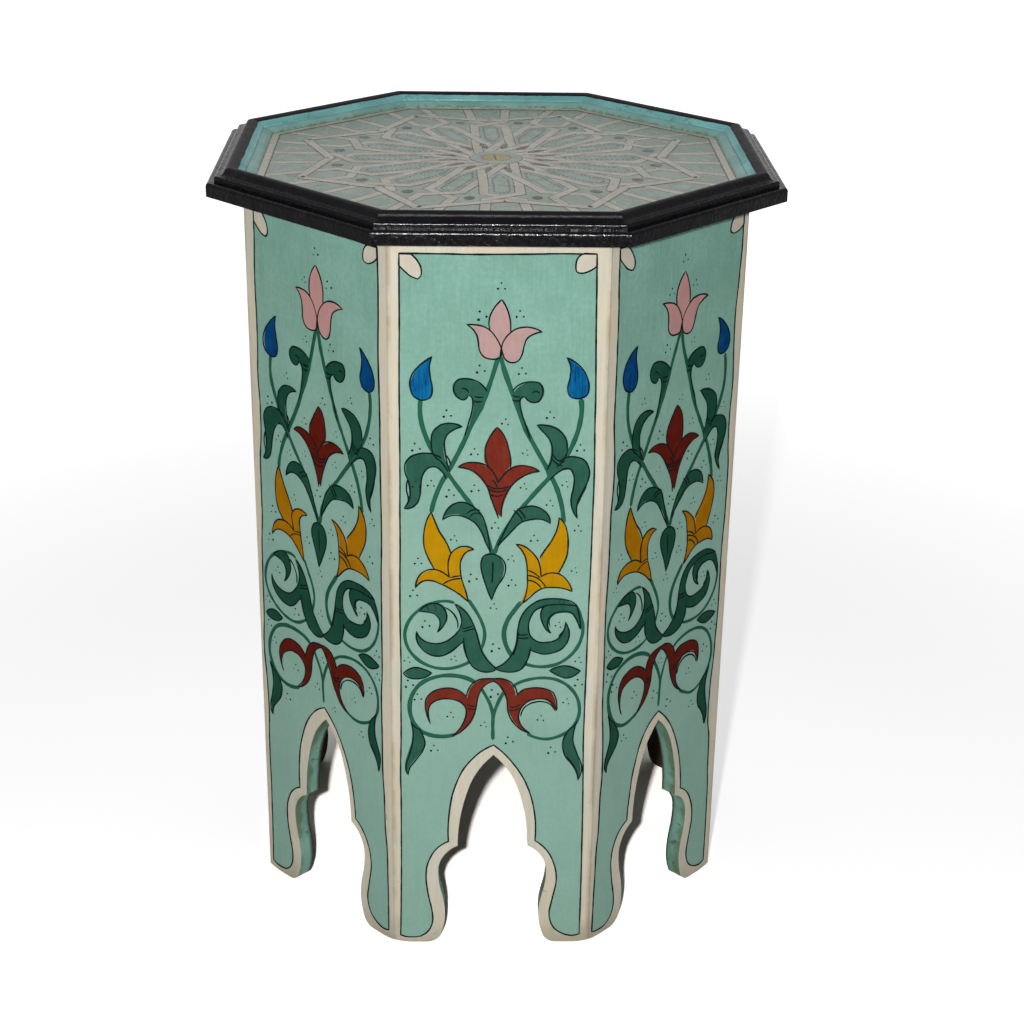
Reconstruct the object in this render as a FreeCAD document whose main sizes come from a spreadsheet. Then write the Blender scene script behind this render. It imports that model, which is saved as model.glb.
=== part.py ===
import FreeCAD, Part
import os
import Sketcher

# An eight-sided painted side table. Eight mitred boards stand on their own feet,
# each sawn out below as a pointed arch with scrolled sides. They carry a thin
# top board, a lipping strip around it and a moulded rim. Corner blocks and
# battens are glued inside, and screws go up through the battens into the top.
#
# Every piece is drawn in the place of the back one, with its outer side towards
# +Y, and is then turned about Z to its own side. The origin lies on the floor
# under the middle of the table.

SIDES = 8
HALF_TURN = f"tan(180deg / {SIDES})"
CORNER_TURN = f"cos(180deg / {SIDES})"
SIDE_NAMES = (
    "back", "back_left", "left", "front_left",
    "front", "front_right", "right", "back_right",
)

# Millimetres
SIZES = {
    # the eight-sided body
    "body_apothem": 167.0,
    "panel_thickness": 13.0,
    "panel_height": 522.0,
    # the sawn arch, measured from the panel's middle line and from the floor
    "arch_height": 155.0,
    "arch_half_width": 24.5,
    "cusp_height": 81.5,
    "lobe_half_width": 38.2,
    "lobe_height": 60.0,
    "ankle_half_width": 33.3,
    "ankle_height": 23.5,
    "toe_reach": 12.7,
    "corner_run": 13.0,
    "corner_lift": 2.0,
    # the moulded rim
    "rim_overhang": 23.0,
    "rim_bearing": 1.5,
    "fascia_height": 9.0,
    "fascia_round": 2.2,
    "bead_inset": 5.4,
    "bead_height": 4.0,
    "bead_round": 1.6,
    "bead_tread": 2.6,
    "crest_inset": 15.2,
    "crest_height": 17.8,
    "rim_inner_height": 13.8,
    # the lipping strip and the top board
    "lipping_width": 6.5,
    "lipping_outer_height": 12.6,
    "lipping_inner_rise": 1.0,
    "board_thickness": 8.5,
    # the blocks and battens inside
    "block_leg": 20.0,
    "block_depth": 17.0,
    "block_height": 340.0,
    "batten_width": 18.0,
    "batten_height": 18.0,
    "batten_end_gap": 2.0,
    # the countersunk wood screws
    "screw_radius": 2.0,
    "screw_bite": 5.5,
    "screw_head_radius": 4.0,
    "screw_head_height": 2.5,
    "screw_clearance": 0.2,
    # how far each cutting outline runs past the wood
    "overrun": 4.0,
}

# Where the arch's two curves meet, between the cusp and the apex
SHOULDER_WIDTH_SHARE = 0.673
SHOULDER_HEIGHT_SHARE = 0.66
# The sole's small round, of the toe's reach, and a first guess at its joint
TOE_ROUND_SHARE = 0.79
TOE_JOINT_SHARES = (0.28, 0.26)
# Where the rim's hollow turns into its crest, between the bead and the crest
HOLLOW_WIDTH_SHARE = 0.56
HOLLOW_HEIGHT_SHARE = 0.62
# The crest's inner round, from the crest to the rim's inner face
CREST_WIDTH_SHARE = 0.52
CREST_HEIGHT_SHARE = 0.32
# How far an arc first bows from its chord, before the sketch is solved
BOW_SHARE = 0.12

doc = FreeCAD.newDocument("painted_table")


def make_sheet():
    """Writes the driving sizes to a spreadsheet, one named cell each."""
    sheet = doc.addObject("Spreadsheet::Sheet", "sizes")
    for row, (name, value) in enumerate(SIZES.items(), start=1):
        sheet.set(f"A{row}", name)
        sheet.set(f"B{row}", str(value))
        sheet.setAlias(f"B{row}", name)
    doc.recompute()
    return sheet


sheet = make_sheet()


def size(name):
    """The expression that reads one cell of the sheet."""
    return f"sizes.{name}"


def number(expression):
    """What an expression is worth now, as a plain number of millimetres."""
    value = sheet.evalExpression(expression)
    return float(getattr(value, "Value", value))


# Sizes worked out from the driving ones
PANEL_INNER = f"({size('body_apothem')} - {size('panel_thickness')})"
RIM_OUTER = f"({size('body_apothem')} + {size('rim_overhang')})"
RIM_INNER = f"({size('body_apothem')} - {size('rim_bearing')})"
BOARD_APOTHEM = f"({RIM_INNER} - {size('lipping_width')})"
BATTEN_INNER = f"({PANEL_INNER} - {size('batten_width')})"
BATTEN_BASE = f"({size('panel_height')} - {size('batten_height')})"
SCREW_APOTHEM = f"({PANEL_INNER} - {size('batten_width')} / 2)"


def new_body(name):
    """A body with its own label."""
    body = doc.addObject("PartDesign::Body", name)
    body.Label = name
    return body


def turn(body, steps):
    """Turns a body about Z by a number of sides, which may end in a half."""
    body.Placement = FreeCAD.Placement(
        FreeCAD.Vector(0, 0, 0),
        FreeCAD.Rotation(FreeCAD.Vector(0, 0, 1), steps * 360 / SIDES),
    )


def origin_part(body, role):
    """One of a body's own origin planes or axes."""
    return next(part for part in body.Origin.OriginFeatures if part.Role == role)


def new_sketch(body, name, plane, offset=None):
    """A sketch on one of the body's origin planes, raised along its normal."""
    sketch = body.newObject("Sketcher::SketchObject", name)
    sketch.AttachmentSupport = [(origin_part(body, plane), "")]
    sketch.MapMode = "FlatFace"
    if offset:
        sketch.setExpression("AttachmentOffset.Base.z", offset)
    doc.recompute()
    return sketch


def pin_point(sketch, label, edge, end, place):
    """Holds one point of a sketch at the place that two expressions give."""
    for kind, axis, letter, expression in (
        ("DistanceX", -2, "across", place[0]),
        ("DistanceY", -1, "up", place[1]),
    ):
        value = number(expression)
        if value == 0:
            sketch.addConstraint(Sketcher.Constraint("PointOnObject", edge, end, axis))
            continue
        ends = (-1, 1, edge, end) if value > 0 else (edge, end, -1, 1)
        index = sketch.addConstraint(Sketcher.Constraint(kind, *ends, abs(value)))
        sketch.renameConstraint(index, f"{label}_{letter}")
        signed = expression if value > 0 else f"-({expression})"
        sketch.setExpression(f"Constraints.{label}_{letter}", signed)


def bowed_arc(start, end, side):
    """An arc between two points that bows to the left (1) or the right (-1)."""
    chord = end - start
    normal = FreeCAD.Vector(-chord.y, chord.x, 0)
    return Part.Arc(start, (start + end) / 2 + normal * BOW_SHARE * side, end)


def draw_outline(sketch, corners, arcs=None, free=()):
    """Draws a closed outline and ties every corner to its expressions.

    corners are pairs of expressions. arcs gives, for the edge that starts at a
    corner, the side it bows to and its rules: upright or level where the curve
    stands upright or lies level at that end, smooth_start where it runs on from
    the edge before, and a radius. A free corner is held by its rules alone.
    """
    arcs = arcs or {}
    places = [FreeCAD.Vector(number(x), number(y), 0) for x, y in corners]
    count = len(places)
    ends = []
    for index, start in enumerate(places):
        finish = places[(index + 1) % count]
        if index not in arcs:
            edge = sketch.addGeometry(Part.LineSegment(start, finish))
            ends.append((edge, 1, 2))
            continue
        side = arcs[index][0]
        edge = sketch.addGeometry(bowed_arc(start, finish, side))
        # a sketch counts an arc's ends anticlockwise
        ends.append((edge, 1, 2) if side < 0 else (edge, 2, 1))
    for index, (edge, first, _) in enumerate(ends):
        before, _, last = ends[index - 1]
        smooth = index in arcs and "smooth_start" in arcs[index][1]
        kind = "Tangent" if smooth else "Coincident"
        sketch.addConstraint(Sketcher.Constraint(kind, before, last, edge, first))
        if index not in free:
            pin_point(sketch, f"corner_{index}", edge, first, corners[index])
    for index, (_, rules) in arcs.items():
        edge, first, last = ends[index]
        for rule, value in rules.items():
            point = first if rule.endswith("start") else last
            if rule.startswith("upright"):
                sketch.addConstraint(Sketcher.Constraint("Horizontal", edge, 3, edge, point))
            elif rule.startswith("level"):
                sketch.addConstraint(Sketcher.Constraint("Vertical", edge, 3, edge, point))
            elif rule == "radius":
                radius = Sketcher.Constraint("Radius", edge, number(value))
                sketch.renameConstraint(sketch.addConstraint(radius), f"round_{index}")
                sketch.setExpression(f"Constraints.round_{index}", value)
    doc.recompute()


def pad(body, name, sketch, length, symmetric=False):
    """A pad of a sketch along its normal, or to both sides of it."""
    feature = body.newObject("PartDesign::Pad", name)
    feature.Profile = sketch
    feature.setExpression("Length", length)
    feature.SideType = "Symmetric" if symmetric else "One side"
    doc.recompute()
    return feature


def pocket_through(body, name, sketch):
    """A cut of a sketch right through the body, to both sides of the sketch."""
    volume = body.Shape.Volume
    feature = body.newObject("PartDesign::Pocket", name)
    feature.Profile = sketch
    feature.Type = "ThroughAll"
    feature.SideType = "Symmetric"
    doc.recompute()
    if not feature.Shape.Volume < volume:
        raise RuntimeError(f"{body.Label}: {name} cuts nothing")
    return feature


def mirror(body, name, features):
    """The features and their twins on the other side of the piece's middle."""
    feature = body.newObject("PartDesign::Mirrored", name)
    feature.Originals = features
    feature.MirrorPlane = (origin_part(body, "YZ_Plane"), [""])
    body.Tip = feature
    doc.recompute()
    return feature


def around(body, name, features):
    """The features once for each side of the table."""
    feature = body.newObject("PartDesign::PolarPattern", name)
    feature.Originals = features
    feature.Axis = (origin_part(body, "Z_Axis"), [""])
    feature.Angle = 360
    feature.Occurrences = SIDES
    body.Tip = feature
    doc.recompute()
    return feature


# Side panels

def arch_sketch(body):
    """Half of the sawn arch, from its point down to the sole of the foot."""
    shoulder_width = f"{size('arch_half_width')} * {SHOULDER_WIDTH_SHARE}"
    shoulder_rise = f"({size('arch_height')} - {size('cusp_height')}) * {SHOULDER_HEIGHT_SHARE}"
    toe = f"{size('ankle_half_width')} + {size('toe_reach')}"
    joint_across = f"{size('ankle_half_width')} + {size('toe_reach')} * {TOE_JOINT_SHARES[0]}"
    corners = [
        ("0", f"-{size('overrun')}"),
        ("0", size("arch_height")),
        (shoulder_width, f"{size('cusp_height')} + {shoulder_rise}"),
        (size("arch_half_width"), size("cusp_height")),
        (size("lobe_half_width"), size("lobe_height")),
        (
            f"({size('lobe_half_width')} + {size('ankle_half_width')}) / 2",
            f"({size('lobe_height')} + {size('ankle_height')}) / 2",
        ),
        (size("ankle_half_width"), size("ankle_height")),
        (joint_across, f"{size('ankle_height')} * {TOE_JOINT_SHARES[1]}"),
        (toe, "0"),
        (toe, f"-{size('overrun')}"),
    ]
    arcs = {
        1: (1, {}),
        2: (1, {"smooth_start": True, "upright_end": True}),
        3: (1, {"upright_end": True}),
        4: (1, {"upright_start": True}),
        5: (-1, {"upright_end": True}),
        6: (-1, {"upright_start": True}),
        7: (-1, {
            "smooth_start": True,
            "level_end": True,
            "radius": f"{size('toe_reach')} * {TOE_ROUND_SHARE}",
        }),
    }
    sketch = new_sketch(body, "arch_outline", "XZ_Plane")
    draw_outline(sketch, corners, arcs, free=(7,))
    return sketch


def corner_sketch(body):
    """The slight lift of the foot's sole towards the table's corner."""
    half_width = f"{size('body_apothem')} * {HALF_TURN}"
    corners = [
        (f"{half_width} - {size('corner_run')}", "0"),
        (f"{half_width}", size("corner_lift")),
        (f"{half_width} + {size('overrun')}", size("corner_lift")),
        (f"{half_width} + {size('overrun')}", f"-{size('overrun')}"),
        (f"{half_width} - {size('corner_run')}", f"-{size('overrun')}"),
    ]
    sketch = new_sketch(body, "corner_outline", "XZ_Plane")
    draw_outline(sketch, corners, {0: (-1, {"level_start": True})})
    return sketch


def make_panel(name, steps):
    """A side board with mitred edges, its arch and its two half feet."""
    body = new_body(name)
    plank_outline = new_sketch(body, "plank_outline", "XY_Plane")
    draw_outline(plank_outline, [
        ("0", PANEL_INNER),
        ("0", size("body_apothem")),
        (f"{size('body_apothem')} * {HALF_TURN}", size("body_apothem")),
        (f"{PANEL_INNER} * {HALF_TURN}", PANEL_INNER),
    ])
    plank = pad(body, "plank", plank_outline, size("panel_height"))
    arch = pocket_through(body, "arch", arch_sketch(body))
    corner = pocket_through(body, "corner", corner_sketch(body))
    mirror(body, "both_halves", [plank, arch, corner])
    turn(body, steps)
    return body


# Rim and lipping, mitred at the corners

def mitre_ends(body, inner, outer):
    """Cuts both ends of a strip to the lines between the middle and the corners."""
    near = f"({inner} - {size('overrun')})"
    far = f"({outer} + {size('overrun')})"
    outline = new_sketch(body, "mitre_outline", "XY_Plane")
    draw_outline(outline, [
        (f"{near} * {HALF_TURN}", near),
        (f"{far} * {HALF_TURN}", far),
        (f"{far} * {HALF_TURN} + {size('overrun')}", far),
        (f"{far} * {HALF_TURN} + {size('overrun')}", near),
    ])
    end = pocket_through(body, "mitre", outline)
    mirror(body, "both_mitres", [end])


def strip_length(outer):
    """The length of a strip before its ends are mitred."""
    return f"2 * ({outer} * {HALF_TURN} + {size('overrun')} / 2)"


def make_rim(name, steps):
    """A length of rim: fascia, bead, hollow and crest."""
    body = new_body(name)
    base = size("panel_height")
    fascia_top = f"{base} + {size('fascia_height')}"
    bead_face = f"{RIM_OUTER} - {size('bead_inset')}"
    bead_top = f"{fascia_top} + {size('bead_height')}"
    hollow_start = f"{bead_face} - {size('bead_tread')}"
    crest_apothem = f"{RIM_OUTER} - {size('crest_inset')}"
    crest_top = f"{base} + {size('crest_height')}"
    inner_top = f"{base} + {size('rim_inner_height')}"
    corners = [
        (RIM_INNER, base),
        (RIM_OUTER, base),
        (RIM_OUTER, f"{fascia_top} - {size('fascia_round')}"),
        (f"{RIM_OUTER} - {size('fascia_round')}", fascia_top),
        (bead_face, fascia_top),
        (bead_face, f"{bead_top} - {size('bead_round')}"),
        (f"{bead_face} - {size('bead_round')}", bead_top),
        (hollow_start, bead_top),
        (
            f"{hollow_start} + ({crest_apothem} - ({hollow_start})) * {HOLLOW_WIDTH_SHARE}",
            f"{bead_top} + ({crest_top} - ({bead_top})) * {HOLLOW_HEIGHT_SHARE}",
        ),
        (crest_apothem, crest_top),
        (
            f"{crest_apothem} + ({RIM_INNER} - ({crest_apothem})) * {CREST_WIDTH_SHARE}",
            f"{crest_top} + ({inner_top} - ({crest_top})) * {CREST_HEIGHT_SHARE}",
        ),
        (RIM_INNER, inner_top),
    ]
    arcs = {
        2: (-1, {"upright_start": True}),
        5: (-1, {"upright_start": True}),
        7: (1, {"level_start": True}),
        8: (-1, {"level_end": True}),
        9: (-1, {"level_start": True}),
    }
    profile = new_sketch(body, "profile", "YZ_Plane")
    draw_outline(profile, corners, arcs)
    pad(body, "strip", profile, strip_length(RIM_OUTER), symmetric=True)
    mitre_ends(body, RIM_INNER, RIM_OUTER)
    turn(body, steps)
    return body


def make_lipping(name, steps):
    """A length of the strip between the top board and the rim."""
    body = new_body(name)
    base = size("panel_height")
    inner_top = f"{base} + {size('board_thickness')} + {size('lipping_inner_rise')}"
    corners = [
        (BOARD_APOTHEM, base),
        (RIM_INNER, base),
        (RIM_INNER, f"{base} + {size('lipping_outer_height')}"),
        (BOARD_APOTHEM, inner_top),
    ]
    profile = new_sketch(body, "profile", "YZ_Plane")
    draw_outline(profile, corners, {2: (-1, {"level_start": True})})
    pad(body, "strip", profile, strip_length(RIM_INNER), symmetric=True)
    mitre_ends(body, BOARD_APOTHEM, RIM_INNER)
    turn(body, steps)
    return body


# Blocks, battens, top board and screws

def make_corner_block(name, steps):
    """A glue block that fills the inner corner between two panels."""
    body = new_body(name)
    corner = f"{PANEL_INNER} / {CORNER_TURN}"
    leg_across = f"{size('block_leg')} * {CORNER_TURN}"
    leg_in = f"{size('block_leg')} * sin(180deg / {SIDES})"
    flat_in = f"{corner} - {size('block_depth')}"
    base = f"{size('panel_height')} - {size('block_height')}"
    outline = new_sketch(body, "section", "XY_Plane", base)
    draw_outline(outline, [
        ("0", flat_in),
        ("0", corner),
        (leg_across, f"{corner} - {leg_in}"),
        (f"{leg_across} - ({size('block_depth')} - {leg_in})", flat_in),
    ])
    block = pad(body, "block", outline, size("block_height"))
    mirror(body, "both_halves", [block])
    turn(body, steps)
    return body


def make_batten(name, steps):
    """A batten under the top board, between two corner blocks."""
    body = new_body(name)
    half_length = f"{PANEL_INNER} * {HALF_TURN} - {size('block_leg')} - {size('batten_end_gap')}"
    outline = new_sketch(body, "section", "XY_Plane", BATTEN_BASE)
    draw_outline(outline, [
        ("0", BATTEN_INNER),
        ("0", PANEL_INNER),
        (half_length, PANEL_INNER),
        (half_length, BATTEN_INNER),
    ])
    bar = pad(body, "bar", outline, size("batten_height"))
    mirror(body, "both_halves", [bar])
    hole_profile = new_sketch(body, "hole_profile", "YZ_Plane")
    clearance = size("screw_clearance")
    below = f"{BATTEN_BASE} - {size('overrun')}"
    above = f"{size('panel_height')} + {size('overrun')}"
    head_edge = f"{SCREW_APOTHEM} + {size('screw_head_radius')} + {clearance}"
    shank_edge = f"{SCREW_APOTHEM} + {size('screw_radius')} + {clearance}"
    draw_outline(hole_profile, [
        (SCREW_APOTHEM, below),
        (head_edge, below),
        (head_edge, BATTEN_BASE),
        (shank_edge, f"{BATTEN_BASE} + {size('screw_head_height')}"),
        (shank_edge, above),
        (SCREW_APOTHEM, above),
    ])
    before = body.Shape.Volume
    hole = spin(body, "PartDesign::Groove", "hole", hole_profile, "Edge6")
    body.Tip = hole
    if not body.Shape.Volume < before:
        raise RuntimeError(f"{name}: the screw hole cuts nothing")
    turn(body, steps)
    return body


def spin(body, kind, name, sketch, axis):
    """A full turn of a sketch about one of its own edges, added or cut away."""
    feature = body.newObject(kind, name)
    feature.Profile = sketch
    feature.ReferenceAxis = (sketch, [axis])
    feature.Angle = 360
    doc.recompute()
    return feature


def make_board(name):
    """The eight-sided top board, with blind pilot holes for the screws."""
    body = new_body(name)
    board = body.newObject("PartDesign::AdditivePrism", "board")
    board.AttachmentSupport = [(origin_part(body, "XY_Plane"), "")]
    board.MapMode = "FlatFace"
    board.Polygon = SIDES
    board.setExpression("Circumradius", f"{BOARD_APOTHEM} / {CORNER_TURN}")
    board.setExpression("Height", size("board_thickness"))
    board.setExpression("AttachmentOffset.Base.z", size("panel_height"))
    board.setExpression("AttachmentOffset.Rotation.Angle", f"180deg / {SIDES}")
    doc.recompute()
    outline = new_sketch(body, "pilot_outline", "XY_Plane", size("panel_height"))
    centre = FreeCAD.Vector(0, number(SCREW_APOTHEM), 0)
    rim = Part.Circle(centre, FreeCAD.Vector(0, 0, 1), number(size("screw_radius")))
    edge = outline.addGeometry(rim)
    pin_point(outline, "centre", edge, 3, ("0", SCREW_APOTHEM))
    radius = Sketcher.Constraint("Radius", edge, number(size("screw_radius")))
    outline.renameConstraint(outline.addConstraint(radius), "radius")
    outline.setExpression("Constraints.radius", size("screw_radius"))
    pilot = body.newObject("PartDesign::Pocket", "pilot")
    pilot.Profile = outline
    pilot.Reversed = True
    pilot.setExpression("Length", size("screw_bite"))
    around(body, "all_pilots", [pilot])
    if not body.Shape.Volume < board.Shape.Volume:
        raise RuntimeError(f"{name}: the pilot holes cut nothing")
    return body


def make_screws(name):
    """The countersunk screws that hold the top, one up through each batten."""
    body = new_body(name)
    body.AllowCompound = True
    head_edge = f"{SCREW_APOTHEM} + {size('screw_head_radius')}"
    shank_edge = f"{SCREW_APOTHEM} + {size('screw_radius')}"
    tip = f"{size('panel_height')} + {size('screw_bite')}"
    profile = new_sketch(body, "screw_profile", "YZ_Plane")
    draw_outline(profile, [
        (SCREW_APOTHEM, BATTEN_BASE),
        (head_edge, BATTEN_BASE),
        (shank_edge, f"{BATTEN_BASE} + {size('screw_head_height')}"),
        (shank_edge, f"{tip} - {size('screw_radius')}"),
        (SCREW_APOTHEM, tip),
    ])
    screw = spin(body, "PartDesign::Revolution", "screw", profile, "Edge5")
    around(body, "all_screws", [screw])
    return body


def check_document(bodies):
    """Stops if an object of the document failed or a piece isn't a sound solid."""
    doc.recompute()
    for item in doc.Objects:
        if "Invalid" in item.State or "Error" in item.State:
            raise RuntimeError(f"{item.Label}: {item.State}")
        if item.isDerivedFrom("Sketcher::SketchObject") and not item.FullyConstrained:
            raise RuntimeError(f"{item.Label}: not fully held")
    for body in bodies:
        if body.Shape.isNull() or not body.Shape.isValid() or not body.Shape.Solids:
            raise RuntimeError(f"{body.Label}: no sound solid")


def main():
    """Makes every piece and writes one STEP file for each."""
    bodies = []
    for steps, side in enumerate(SIDE_NAMES):
        bodies.append(make_panel(f"{side}_panel", steps))
        bodies.append(make_rim(f"{side}_rim", steps))
        bodies.append(make_lipping(f"{side}_lipping", steps))
        bodies.append(make_batten(f"{side}_batten", steps))
        bodies.append(make_corner_block(f"corner_block_{steps + 1}", steps + 1 / 2))
    bodies.append(make_board("top_board"))
    bodies.append(make_screws("top_screws"))
    check_document(bodies)
    os.makedirs("parts", exist_ok=True)
    for body in bodies:
        body.Shape.exportStep(f"parts/{body.Label}.step")
        print(body.Label, len(body.Shape.Solids), round(body.Shape.Volume))


main()
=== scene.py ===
"""An eight-sided painted side table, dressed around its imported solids."""

import logging
import math
from collections.abc import Callable, Iterable, Sequence
from dataclasses import dataclass
from enum import Enum

import bpy
from mathutils import Matrix, Vector, geometry, noise


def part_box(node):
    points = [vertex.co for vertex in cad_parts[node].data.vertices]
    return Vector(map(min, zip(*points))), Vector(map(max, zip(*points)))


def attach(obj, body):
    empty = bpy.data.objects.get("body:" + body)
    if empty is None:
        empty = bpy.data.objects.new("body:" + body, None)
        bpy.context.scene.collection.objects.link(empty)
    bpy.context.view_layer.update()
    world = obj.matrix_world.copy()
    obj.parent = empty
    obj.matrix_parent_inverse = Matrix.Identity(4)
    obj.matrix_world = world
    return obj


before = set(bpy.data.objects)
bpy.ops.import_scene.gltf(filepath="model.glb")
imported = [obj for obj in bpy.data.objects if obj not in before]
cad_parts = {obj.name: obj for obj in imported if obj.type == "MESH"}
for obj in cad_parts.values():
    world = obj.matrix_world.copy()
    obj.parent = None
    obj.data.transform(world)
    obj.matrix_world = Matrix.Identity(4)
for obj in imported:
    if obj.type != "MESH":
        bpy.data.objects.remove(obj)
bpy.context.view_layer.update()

log = logging.getLogger("painted_table")

MM = 0.001
SIDES = 8
HAND_SEED = 58
SIDE_NAMES = (
    "back", "back_left", "left", "front_left",
    "front", "front_right", "right", "back_right",
)

Point = tuple[float, float]
Spot = tuple[float, float, float]
Tone = tuple[int, int, int]
Run = tuple[Point, ...]
Line = tuple[Sequence[Point], bool]
Place = Callable[[float, float, float], Vector]
Socket = bpy.types.NodeSocket
Material = bpy.types.Material


def linear(red: int, green: int, blue: int) -> tuple[float, float, float, float]:
    """A colour as shaders take it.

    Args:
        red, green, blue: the colour as a screen shows it, 0 to 255.

    Returns:
        Its linear channels and a full alpha.
    """
    def channel(value: int) -> float:
        """One linear channel, 0 to 1."""
        share = value / 255
        return share / 12.92 if share < 0.04045 else ((share + 0.055) / 1.055) ** 2.4
    return channel(red), channel(green), channel(blue), 1.0


# Building blocks: shader nodes, geometry nodes, smooth lines and paint plates

class Shader:
    """A node material under construction, in the object's own coordinates."""

    def __init__(self, name: str, shine: float, roughness: float = 0.5) -> None:
        """Starts a material.

        Args:
            name: the material's name.
            shine: the shader's specular level.
            roughness: how matt it is where no node drives it.
        """
        self.material = bpy.data.materials.new(name)
        self.material.use_nodes = True
        self.tree = self.material.node_tree
        self.tree.nodes.clear()
        self.surface = self.tree.nodes.new("ShaderNodeBsdfPrincipled")
        self.surface.inputs["Roughness"].default_value = roughness
        self.surface.inputs["Specular IOR Level"].default_value = shine
        end = self.tree.nodes.new("ShaderNodeOutputMaterial")
        self.tree.links.new(self.surface.outputs[0], end.inputs["Surface"])
        self.place = self.tree.nodes.new("ShaderNodeTexCoord").outputs["Object"]

    def feed(self, socket: Socket, value: object) -> None:
        """Links a socket to another, or sets it where the value is a plain one."""
        if isinstance(value, bpy.types.NodeSocket):
            self.tree.links.new(value, socket)
        elif value is not None:
            socket.default_value = value

    def math(self, kind: str, first: object, second: object = None) -> Socket:
        """One arithmetic step.

        Args:
            kind: the operation's name.
            first, second: sockets or numbers.

        Returns:
            The result's socket.
        """
        node = self.tree.nodes.new("ShaderNodeMath")
        node.operation = kind
        self.feed(node.inputs[0], first)
        self.feed(node.inputs[1], second)
        return node.outputs[0]

    def noise(self, scale: float, detail: float = 4.0, rough: float = 0.55,
              vector: Socket | None = None, swirl: float = 0.0) -> Socket:
        """A noise value about 0.5.

        Args:
            scale: features per metre of the vector.
            detail: the number of finer layers.
            rough: how strong the finer layers are.
            vector: where it is read, the object's coordinates by default.
            swirl: how far it is distorted.

        Returns:
            The value's socket.
        """
        node = self.tree.nodes.new("ShaderNodeTexNoise")
        self.feed(node.inputs["Vector"], vector or self.place)
        node.inputs["Scale"].default_value = scale
        node.inputs["Detail"].default_value = detail
        node.inputs["Roughness"].default_value = rough
        node.inputs["Distortion"].default_value = swirl
        return node.outputs["Fac"]

    def plus(self, first: Socket, second: Socket, share: float) -> Socket:
        """The first value with a share of the second added."""
        return self.math("ADD", first, self.math("MULTIPLY", second, share))

    def between(self, value: object, low: float, high: float,
                start: float = 0.0, end: float = 1.0) -> Socket:
        """A value's range, mapped smoothly on another and held at its ends.

        Args:
            value: a socket or a number.
            low, high: the range that is read.
            start, end: what low and high become.

        Returns:
            The mapped value's socket.
        """
        node = self.tree.nodes.new("ShaderNodeMapRange")
        node.interpolation_type = "SMOOTHSTEP"
        for socket, plain in zip(node.inputs[:5], (value, low, high, start, end)):
            self.feed(socket, plain)
        return node.outputs[0]

    def patches(self, scale: float, detail: float = 4.0, rough: float = 0.55,
                *ends: float) -> Socket:
        """Soft patches of noise: its range from 0.3 to 0.7, or as between takes it."""
        return self.between(self.noise(scale, detail, rough), *(ends or (0.3, 0.7)))

    def grain(self, scale: Sequence[float], detail: float, rough: float, swirl: float,
              low: float, high: float, turn: float = 0.0) -> Socket:
        """Long streaks, as of wood or a brush.

        Args:
            scale: features per metre along each axis.
            detail, rough, swirl: as noise takes them.
            low, high: the noise's range that is shown.
            turn: how far the streaks are turned about Z.

        Returns:
            The value's socket.
        """
        node = self.tree.nodes.new("ShaderNodeMapping")
        node.inputs["Scale"].default_value = scale
        node.inputs["Rotation"].default_value = (0, 0, turn)
        self.feed(node.inputs["Vector"], self.place)
        streaks = self.noise(1.0, detail, rough, node.outputs[0], swirl)
        return self.between(streaks, low, high)

    def blend(self, share: object, first: object, second: object) -> Socket:
        """A mix of two colours.

        Args:
            share: how much of the second shows.
            first, second: sockets, linear colours, or tones as a screen shows them.

        Returns:
            The mixed colour's socket.
        """
        node = self.tree.nodes.new("ShaderNodeMix")
        node.data_type = "RGBA"
        self.feed(node.inputs["Factor"], share)
        for number, colour in ((6, first), (7, second)):
            on_screen = isinstance(colour, tuple) and len(colour) == 3
            self.feed(node.inputs[number], linear(*colour) if on_screen else colour)
        return node.outputs[2]

    def wash(self, colour: object, over: object, share: Socket,
             strength: float | None = None) -> Socket:
        """A colour with another laid over it.

        Args:
            colour, over: what is painted over, and the tone or colour over it.
            share: how much of it shows at each spot.
            strength: what the share is scaled by.

        Returns:
            The colour's socket.
        """
        if strength is not None:
            share = self.math("MULTIPLY", share, strength)
        return self.blend(share, colour, over)

    def axes(self) -> tuple[Socket, Socket, Socket]:
        """The object's X, Y and Z."""
        node = self.tree.nodes.new("ShaderNodeSeparateXYZ")
        self.feed(node.inputs[0], self.place)
        return node.outputs[0], node.outputs[1], node.outputs[2]

    def apothem(self) -> Socket:
        """The distance from the middle at which an upright octagon passes."""
        x, y, _ = self.axes()
        x, y = self.math("ABSOLUTE", x), self.math("ABSOLUTE", y)
        slanted = self.math("MULTIPLY", self.math("ADD", x, y), math.sqrt(0.5))
        return self.math("MAXIMUM", self.math("MAXIMUM", x, y), slanted)

    def finish(self, colour: object, roughness: Socket, height: Socket,
               depth: float) -> Material:
        """Sets what every finish has, and ends the material.

        Args:
            colour, roughness: the surface's.
            height: how far each spot is raised, as a share of depth.
            depth: the full height, in metres.

        Returns:
            The material.
        """
        node = self.tree.nodes.new("ShaderNodeBump")
        node.inputs["Strength"].default_value = 1.0
        node.inputs["Distance"].default_value = depth
        self.feed(node.inputs["Height"], height)
        self.feed(self.surface.inputs["Normal"], node.outputs[0])
        self.feed(self.surface.inputs["Base Color"], colour)
        self.feed(self.surface.inputs["Roughness"], roughness)
        return self.material


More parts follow.
